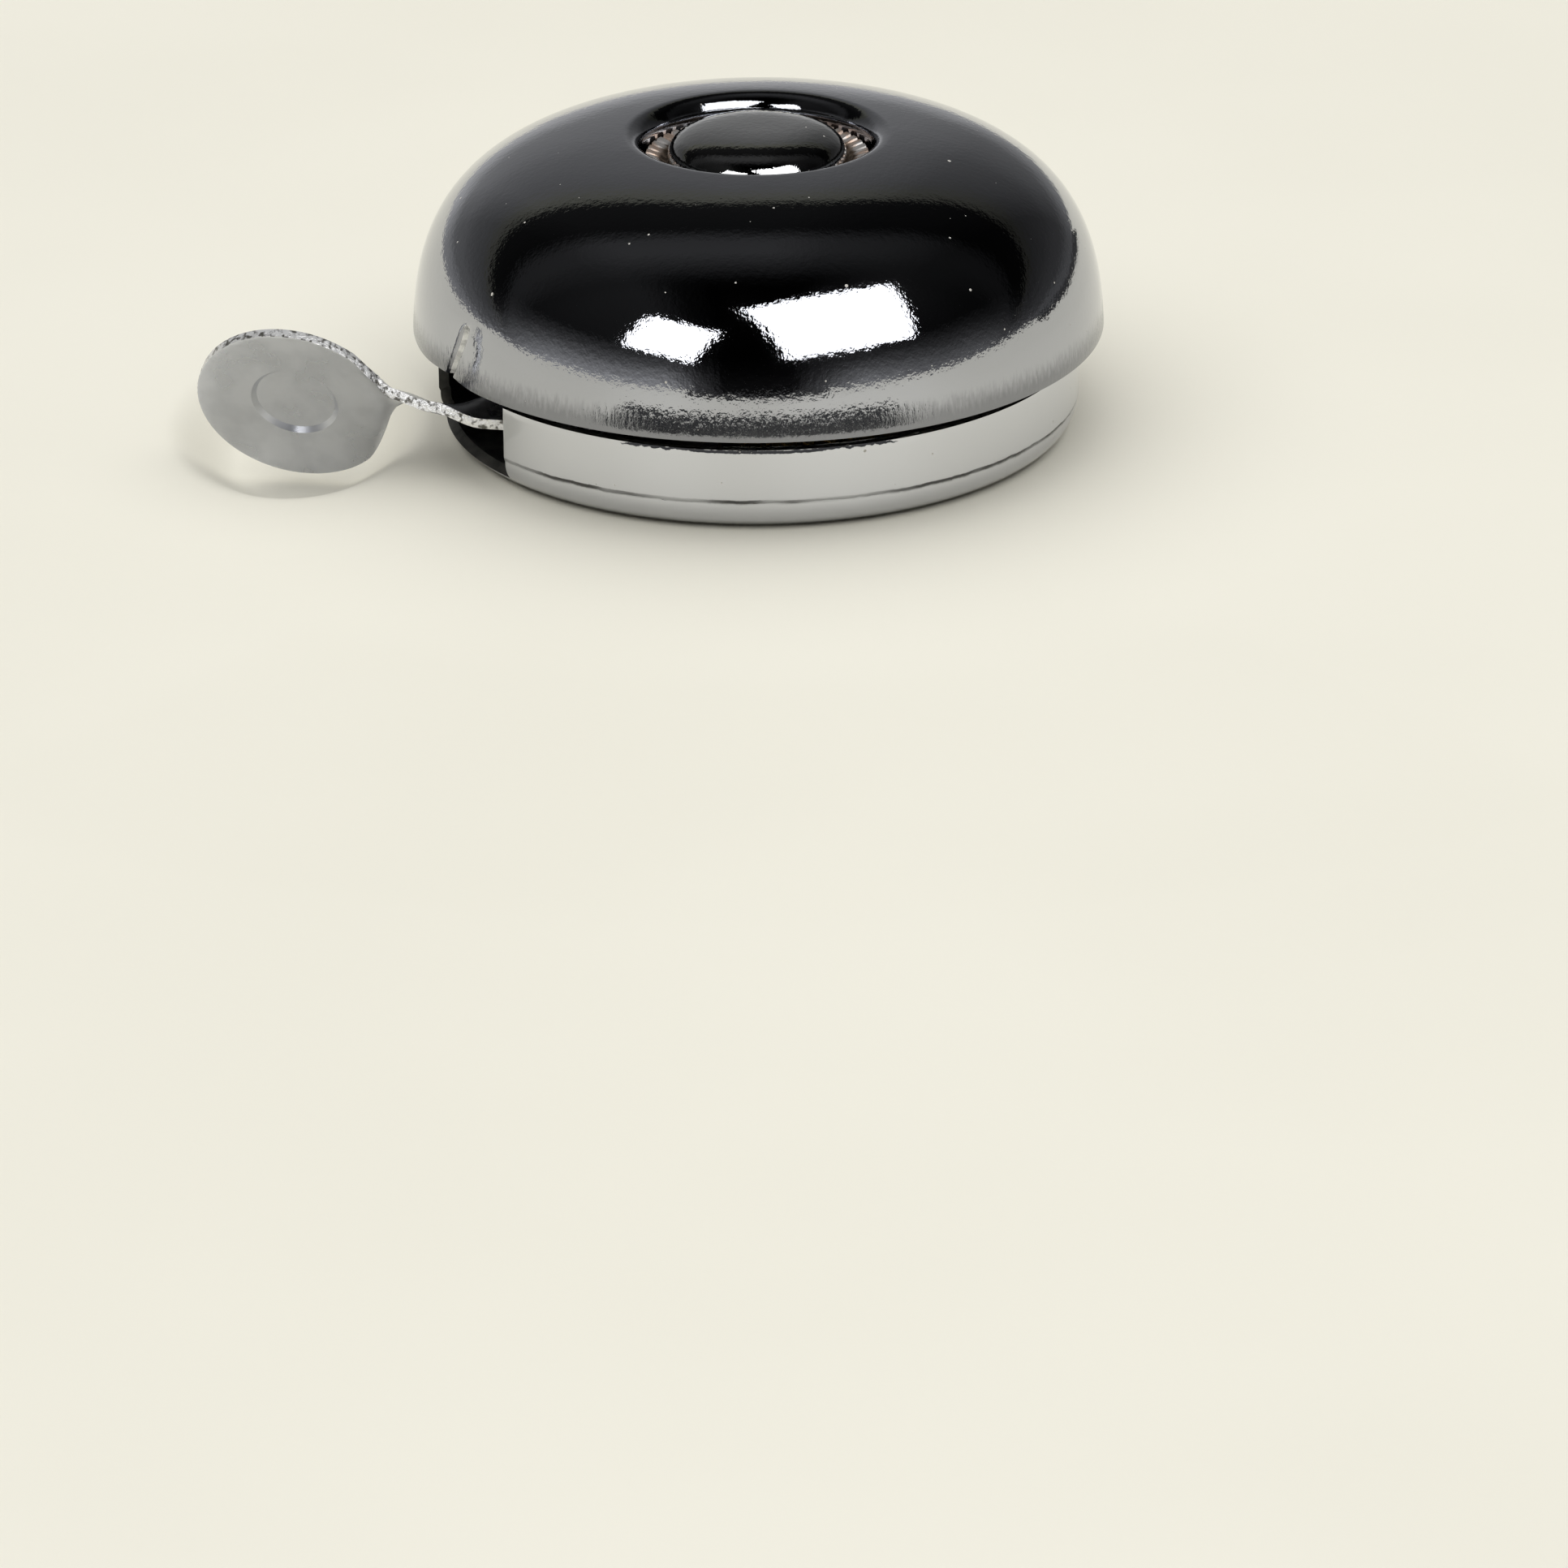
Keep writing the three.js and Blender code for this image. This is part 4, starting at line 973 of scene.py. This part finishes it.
def flat_sheet(name, outline, holes, z_range, rounding=0.07):
    """A flat stamping between two heights, with its edges broken."""
    obj = raw_object(name, *slab(outline, holes, sum(z_range) / 2, z_range[1] - z_range[0]))
    bevel(obj, rounding, 30, 2)
    return obj


def tube(name, inner, outer, z_range, centre):
    low, high = z_range
    line = rounded([(inner, low), (outer, low), (outer, high), (inner, high)], 0.1, True)
    verts, faces = turned(line, 72, True)
    return raw_object(name, [(x + centre[0], y + centre[1], z) for x, y, z in verts], faces)


def make_pinion(name, gear, first_tooth, centre, body):
    """Teeth and hub in one."""
    outline = [p + Vector(centre) for p in gear_outline(gear, first_tooth)]
    obj = flat_sheet(name, outline, [circle(gear["bore"], 72, centre)], gear["z"])
    combine(obj, tube("hub", gear["bore"], gear["hub"], gear["hub_z"], centre), "UNION")
    new_piece(obj, body, BRASS)


def make_gears():
    post = Vector((0, 0))
    first = heading_of(PIVOT, IDLER) + math.pi + math.pi / IDLER_PINION["teeth"]
    make_pinion("fine_idler_pinion", IDLER_PINION, first, IDLER, "idler")
    first = heading_of(post, IDLER) + math.pi / ROTOR_PINION["teeth"]
    make_pinion("fine_rotor_pinion", ROTOR_PINION, first, post, "rotor")
    towards_post = heading_of(IDLER, post)
    outline = [p + IDLER for p in gear_outline(IDLER_GEAR, towards_post)]
    holes = [circle(IDLER_GEAR["bore"], 64, IDLER)]
    for k in range(4):
        centre = polar(IDLER_GEAR["hole_circle"], math.degrees(towards_post) + 45 + 90 * k, IDLER)
        holes.append(circle(IDLER_GEAR["holes"], 40, centre))
    obj = flat_sheet("fine_idler_gear", outline, holes, IDLER_GEAR["z"])
    new_piece(obj, "idler", BRASS)


def make_idler_clip():
    outline = arc(CLIP["outer"], CLIP["gap"], 360, 40, IDLER)
    outline += arc(CLIP["inner"], 360, CLIP["gap"], 40, IDLER)
    obj = flat_sheet("fine_idler_clip", outline, [], CLIP["z"], 0.05)
    new_piece(obj, "root", DARK)


def rotor_azimuth():
    """Where the rotor's arm points at rest: the way that hammer 1 slides."""
    axis = Vector(JOINTS["hammer_1_slide"]["axis"])
    return math.degrees(math.atan2(axis.y, axis.x))


def make_rotor_bar():
    """A waisted flat bar: wide round the hub, with a round end under each hammer pin."""
    half, end, reach = ROTOR["half"], ROTOR["end"], ROTOR["reach"]
    right = arc(end, -90, 90, 24, (reach, 0))
    left = [-p for p in right]
    corners = rounded([(-half, -half), (half, -half)], 0.1)
    outline = corners + right + [-p for p in corners] + left
    turn = Matrix.Rotation(-math.radians(rotor_azimuth()), 2)
    holes = [circle(ROTOR["bore"], 64)]
    holes += [circle(ROTOR["pin_hole"], 36, (side * reach, 0)) for side in (1, -1)]
    outline, *holes = ([Vector(p) @ turn for p in loop] for loop in (outline, *holes))
    obj = flat_sheet("fine_rotor_bar", outline, holes, ROTOR["z"], 0.12)
    new_piece(obj, "rotor", ZINC)


# ---------------------------------------------------------------- handlebar clamp

def band_path():
    """Middle line of one half of the band, in y and z: from its flat top round the bar and down an ear."""
    middle = BAR + BAND["thick"] / 2
    ear_y = (BAND["ear_gap"] + BAND["thick"]) / 2
    half_turn = math.degrees(math.atan(BAND["flat_half"] / BAR))
    corner = Vector((middle * math.tan(math.radians(half_turn)), middle))
    touch = 90 - 2 * half_turn
    leave = -90 + math.degrees(math.asin(ear_y / middle))
    path = rounded([(0, middle), corner, polar(middle, touch)], 1.6, steps=8)[:-1]
    path += arc(middle, touch, leave, 60)
    end = Vector((ear_y, SCREW_Z - BAND["half_width"]))
    return rounded(path[:-1], 0.01) + rounded([path[-2], path[-1], end], 0.8, steps=6)[1:]


def along_path(path):
    """A function from a distance along a line to the point there and the direction across it."""
    marks = [0.0]
    for a, b in zip(path, path[1:]):
        marks.append(marks[-1] + (b - a).length)

    def at(distance):
        distance = min(max(distance, 0.0), marks[-1])
        k = max(i for i, mark in enumerate(marks[:-1]) if mark <= distance)
        step = path[k + 1] - path[k]
        share = (distance - marks[k]) / max(step.length, 1e-9)

        def heading(i):
            low, high = path[max(i - 1, 0)], path[min(i + 1, len(path) - 1)]
            return (high - low).normalized()

        ahead = heading(k).lerp(heading(k + 1), share).normalized()
        return path[k] + step * share, Vector((-ahead.y, ahead.x))

    return at, marks[-1]


def make_clamp_band():
    """The strip is cut flat with round ends and its holes, then bent: v runs along it, u across."""
    at, length = along_path(band_path())
    half = BAND["half_width"]

    def place(u, v, w):
        spot, across = at(abs(v))
        side = 1 if v >= 0 else -1
        y, z = spot + across * w
        return Vector((u, side * y, z - BASE))

    centre = length - half
    outline = [Vector((-half, v)) for v in spread(-centre, centre, 90)]
    outline += arc(half, 180, 0, 30, (0, centre))[1:-1]
    outline += [Vector((half, v)) for v in spread(centre, -centre, 90)]
    outline += arc(half, 0, -180, 30, (0, -centre))[1:-1]
    holes = [circle(BAND["hole"], 32, (0, side * centre)) for side in (1, -1)]
    holes += [circle(RIVET["hole"], 24, (0, side * RIVET["y"])) for side in (1, -1)]
    obj = with_sheared_edges("fine_clamp_band", sheet(outline, holes, place, BAND["thick"], 0.9), ZINC)
    bevel(obj, 0.15, 50, 2)
    new_piece(obj, "root", sharp=38)


def lay_down(verts):
    """A piece turned round z is laid along Y, head towards the rider, on the clamp screw's axis."""
    return [(x, -z, y + SCREW_Z - BASE) for x, y, z in verts]


def make_clamp_screw():
    """A slotted pan-head screw with a rolled thread."""
    seat = -(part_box("clamp_washer")[0].y / MM) + SLIP
    crown = seat + SCREW["head_high"]
    end = seat - SCREW["length"]
    shank, pitch, depth = SCREW["shank"], THREAD["pitch"], THREAD["depth"]
    side = [(shank, seat), (SCREW["head"], seat), (SCREW["head"], crown - 1.3)]
    head = rounded([*side, (2.6, crown - 0.15)], 0.25)
    per_pitch = 8
    rows = int((seat - end - 0.4) / (pitch / per_pitch))
    thread = [(shank, end + 0.3 + k * pitch / per_pitch) for k in range(rows)]
    line = [(0, end), (shank - depth - 0.1, end), *thread, *head, (0, crown)]
    verts, faces = turned(line, 64)
    cut = []
    for x, y, z in verts:
        radius = math.hypot(x, y)
        if abs(radius - shank) < 1e-6 and z < seat - 0.5:
            phase = (z / pitch - math.atan2(y, x) / (2 * math.pi)) % 1
            sunk = depth * (1 - abs(2 * phase - 1)) * smooth((seat - 0.6 - z) / 0.8)
            x, y = x * (shank - sunk) / shank, y * (shank - sunk) / shank
        cut.append((x, y, z))
    obj = raw_object("fine_clamp_screw", lay_down(cut), faces)
    clear = 1  # of the cutter above the head
    outline = rectangle(2 * SCREW["head"], SCREW["slot"] / 2)
    slot_verts, slot_faces = slab(outline, [], crown + clear, 2 * (clear + SCREW["slot_deep"]))
    combine(obj, raw_object("slot", lay_down(slot_verts), slot_faces), "DIFFERENCE")
    new_piece(obj, "root", ZINC)


def make_clamp_nut():
    """A hexagon nut whose corners are turned off at 30 degrees on both faces."""
    low = -EAR_FACE - SLIP - NUT["thick"]
    high = low + NUT["thick"]
    corner = NUT["across"] / 2 / math.cos(math.radians(30))
    verts, faces = slab(circle(corner, 6), [circle(NUT["bore"], 48)], (low + high) / 2, NUT["thick"])
    obj = raw_object("fine_clamp_nut", lay_down(verts), faces)
    flat, beyond = NUT["across"] / 2 - 0.1, corner + 0.4
    fall = (beyond - flat) * math.tan(math.radians(30))
    line = [(0, low), (flat, low), (beyond, low + fall), (beyond, high - fall), (flat, high), (0, high)]
    cone_verts, cone_faces = turned(line, 96)
    combine(obj, raw_object("corners", lay_down(cone_verts), cone_faces), "INTERSECT")
    bevel(obj, 0.06, 40, 2)
    new_piece(obj, "root", ZINC, sharp=25)


# ---------------------------------------------------------------- build the object

make_dome()
make_cap_nut()
make_serrated_washer()
make_base_cup()
make_thumb_lever()
make_return_spring()
make_gears()
make_idler_clip()
make_rotor_bar()
make_clamp_band()
make_clamp_screw()
make_clamp_nut()
refined("clamp_washer", "root", ZINC, 0.15, lying=True)
for end in ("front", "rear"):
    refined("clamp_rivet_" + end, "root", ZINC, 0.2, 48)
refined("centre_post", "root", ZINC, 0.12)
for node in ("rotor_thrust_washer", "rotor_keeper_washer"):
    refined(node, "root", BRASS, 0.06)
refined("dome_sleeve", "root", ZINC, 0.15)
refined("dome_washer", "root", ZINC, 0.1)
refined("spring_anchor_pin", "root", ZINC, 0.15, 40)
for node, rounding in (("lever_pivot_pin", 0.1), ("lever_washer", 0.06), ("idler_pin", 0.1)):
    refined(node, "root", ZINC, rounding)
for number in (1, 2):
    refined(f"hammer_pin_{number}", "rotor", ZINC, 0.1, 72)
    refined(f"hammer_{number}", f"hammer_{number}", DARK, 0.2)


# ---------------------------------------------------------------- floor, light and camera

DIP = {"at": (-40.5, -0.5), "half_x": 11.9, "half_y": 20.0, "depth": 3.7, "edge": 0.55}
FLOOR_RADIUS = 2500.0
FLOOR_GAP = 0.03  # below the base cup's underside


def make_floor():
    """A pale floor at the base cup's underside, with a soft dip under the thumb pad, which hangs a little
    lower than the cup."""
    steps = 30
    line = [(k / steps, -DIP["depth"] * smooth((1 - k / steps) / DIP["edge"])) for k in range(steps + 1)]
    line += [(share, 0) for share in (1.1, 1.5, 3, 10, 50)] + [(FLOOR_RADIUS / DIP["half_y"], 0)]
    verts, faces = turned(line, 96)
    (x0, y0), half_x, half_y = DIP["at"], DIP["half_x"], DIP["half_y"]
    verts = [(x0 + x * half_x, y0 + y * half_y, z - FLOOR_GAP) for x, y, z in verts]
    floor = raw_object("floor", verts, faces)
    floor.data.shade_smooth()
    s = Shader("pale_floor")
    tone = s.ramp(s.noise(60, 2.0), 0.3, 0.7)
    s.relief((s.noise(0.5, 3.0), 0.01))
    floor.data.materials.append(s.metal(s.blend(tone, (0.83, 0.805, 0.70), (0.85, 0.825, 0.72)), 0.6, 0.0))


def reflection_card(name, corners, tone):
    """A card that only mirrors see, as a studio puts one beside a shiny object to shape its reflections."""
    card = raw_object(name, corners, [tuple(range(len(corners)))])
    card.data.materials.append(Shader(name).metal((tone,) * 3, 1.0, metallic=0.0))
    card.visible_camera = False
    card.visible_diffuse = False
    card.visible_shadow = False


def make_cards():
    """Dark cards on the floor: a narrow one just in front of the bell, and wedges nearly out to the floor's
    edge in front and on the right, where the studio is dark."""
    wedges = {
        "near_card": (-128, -52, 60, 105, 0.03),
        "front_card": (-112, -68, 290, 2400, 0.02),
        "right_card": (14, 56, 300, 2400, 0.03),
    }
    for name, (start, end, near, far, tone) in wedges.items():
        inner = arc(near, start, end, 12)
        outer = arc(far, end, start, 12)
        reflection_card(name, [(*point, 0.1) for point in inner + outer], tone)


def soft_box(name, centre, width, height, radiance):
    """A soft box that looks at the bell. centre is where it hangs and width is its long side, as vectors, and
    height is its other side, all as shares of its distance."""
    away = 0.8  # metres from the bell
    out = Vector(centre).normalized()
    across = Vector(width)
    up = out.cross(across).normalized()
    light = bpy.data.lights.new(name, "AREA")
    light.shape = "RECTANGLE"
    light.size, light.size_y = across.length * away, height * away
    light.energy = radiance * math.pi * light.size * light.size_y
    box = bpy.data.objects.new(name, light)
    across = across.normalized()
    turn = Matrix((across, up, out)).transposed().to_4x4()
    bell = Vector((0, 0, (BASE + 15) * MM))
    box.matrix_world = Matrix.Translation(bell + Vector(centre) * away) @ turn
    box.visible_diffuse = False
    bpy.context.scene.collection.objects.link(box)


def make_lights():
    """Two soft boxes for the highlights, and an even light from above that no mirror shows."""
    soft_box("soft_box_right", (0.398, -0.653, 0.645), (0.707, 0.452, 0.025), height=0.77, radiance=2.6)
    soft_box("soft_box_left", (-0.457, -0.756, 0.469), (0.342, -0.261, -0.096), height=0.41, radiance=2.8)
    sun = bpy.data.lights.new("ceiling_bounce", "SUN")
    sun.energy, sun.angle = 3.3, math.radians(110)
    ceiling = bpy.data.objects.new("ceiling_bounce", sun)
    ceiling.visible_glossy = False
    bpy.context.scene.collection.objects.link(ceiling)


def make_world():
    """A dark studio with a pale horizon, for the reflections: grey behind the bell up to a ceiling edge, and
    nearly black above and in front. The camera itself sees a plain pale backdrop."""
    world = bpy.data.worlds.new("studio")
    bpy.context.scene.world = world
    world.use_nodes = True
    sky = Nodes(world.node_tree)
    background = next(n for n in sky.tree.nodes if n.type == "BACKGROUND")
    x, y, z = sky.add("SeparateXYZ", sky.add("TexCoord").outputs["Generated"]).outputs

    def tones(value, stops):
        """A grey ramp. Each stop is a position and a tone, with a colour tint where it has one."""
        node = sky.add("ValToRGB", value)
        elements = node.color_ramp.elements
        while len(elements) < len(stops):
            elements.new(0.5)
        for element, (position, tone, *tint) in zip(elements, stops):
            colour = [tone * share for share in (tint or (1, 1, 1))]
            element.position, element.color = position, (*colour, 1)
        return node.outputs[0]

    def degrees(*stops):
        return [(angle / 180, *rest) for angle, *rest in stops]

    half_turn = sky.maths("DIVIDE", sky.maths("ARCTAN2", z, y), math.pi)  # 0 behind the bell, 0.5 overhead
    from_side = sky.maths("MULTIPLY_ADD", x, 0.5, 0.5)  # 0 at the left, 1 at the right
    olive = (1.0, 1.0, 0.82)
    behind = sky.blend(1.0, tones(half_turn, degrees(
        (0, 0.52), (5, 0.42), (10, 0.25), (17, 0.22), (24, 0.165), (34, 0.125), (40, 0.115, *olive),
        (42, 0.10, *olive), (43.5, 0.012), (60, 0.008), (68, 0.045), (78, 0.05), (92, 0.035), (102, 0.012),
    )), tones(from_side, [
        (0.0, 0.5), (0.2, 0.6), (0.3, 1.0), (0.52, 1.0), (0.60, 0.6), (0.70, 0.45), (0.80, 0.2),
    ]), "MULTIPLY")
    ahead = sky.blend(1.0, tones(z, [
        (0.0, 0.48), (0.05, 0.33), (0.10, 0.24), (0.17, 0.12), (0.25, 0.05), (0.35, 0.012), (0.9, 0.02),
    ]), tones(from_side, [
        (0.0, 0.9), (0.25, 1.0), (0.33, 0.2), (0.40, 0.02), (0.60, 0.02), (0.67, 0.2), (0.78, 0.7),
        (0.95, 0.4),
    ]), "MULTIPLY")
    side = sky.ramp(y, -0.35, 0.30)
    seen_directly = sky.add("LightPath").outputs["Is Camera Ray"]
    studio = sky.blend(side, ahead, behind)
    sky.link(sky.blend(seen_directly, studio, (0.86, 0.85, 0.80)), background.inputs["Color"])
    background.inputs["Strength"].default_value = 1.0


def make_camera():
    """A long lens looking down at the bell, which stands in the upper part of the picture."""
    elevation, roll = math.radians(23.88), math.radians(-0.4)
    distance, right_of, below = 634.5, 2.17, 32.46
    level = Vector((1, 0, 0))
    tilted = Vector((0, math.sin(elevation), math.cos(elevation)))
    back = Vector((0, -math.cos(elevation), math.sin(elevation)))
    right = level * math.cos(roll) + tilted * math.sin(roll)
    up = tilted * math.cos(roll) - level * math.sin(roll)
    spot = Vector((0, 0, BASE)) + right * right_of - up * below + back * distance
    data = bpy.data.cameras.new("camera")
    data.lens, data.sensor_width = 165.8, 36.0
    data.clip_start, data.clip_end = 0.01, 20
    camera = bpy.data.objects.new("camera", data)
    camera.matrix_world = Matrix.Translation(spot * MM) @ Matrix((right, up, back)).transposed().to_4x4()
    bpy.context.scene.collection.objects.link(camera)
    bpy.context.scene.camera = camera


make_floor()
make_cards()
make_lights()
make_world()
make_camera()
bpy.context.scene.view_settings.view_transform = "Standard"
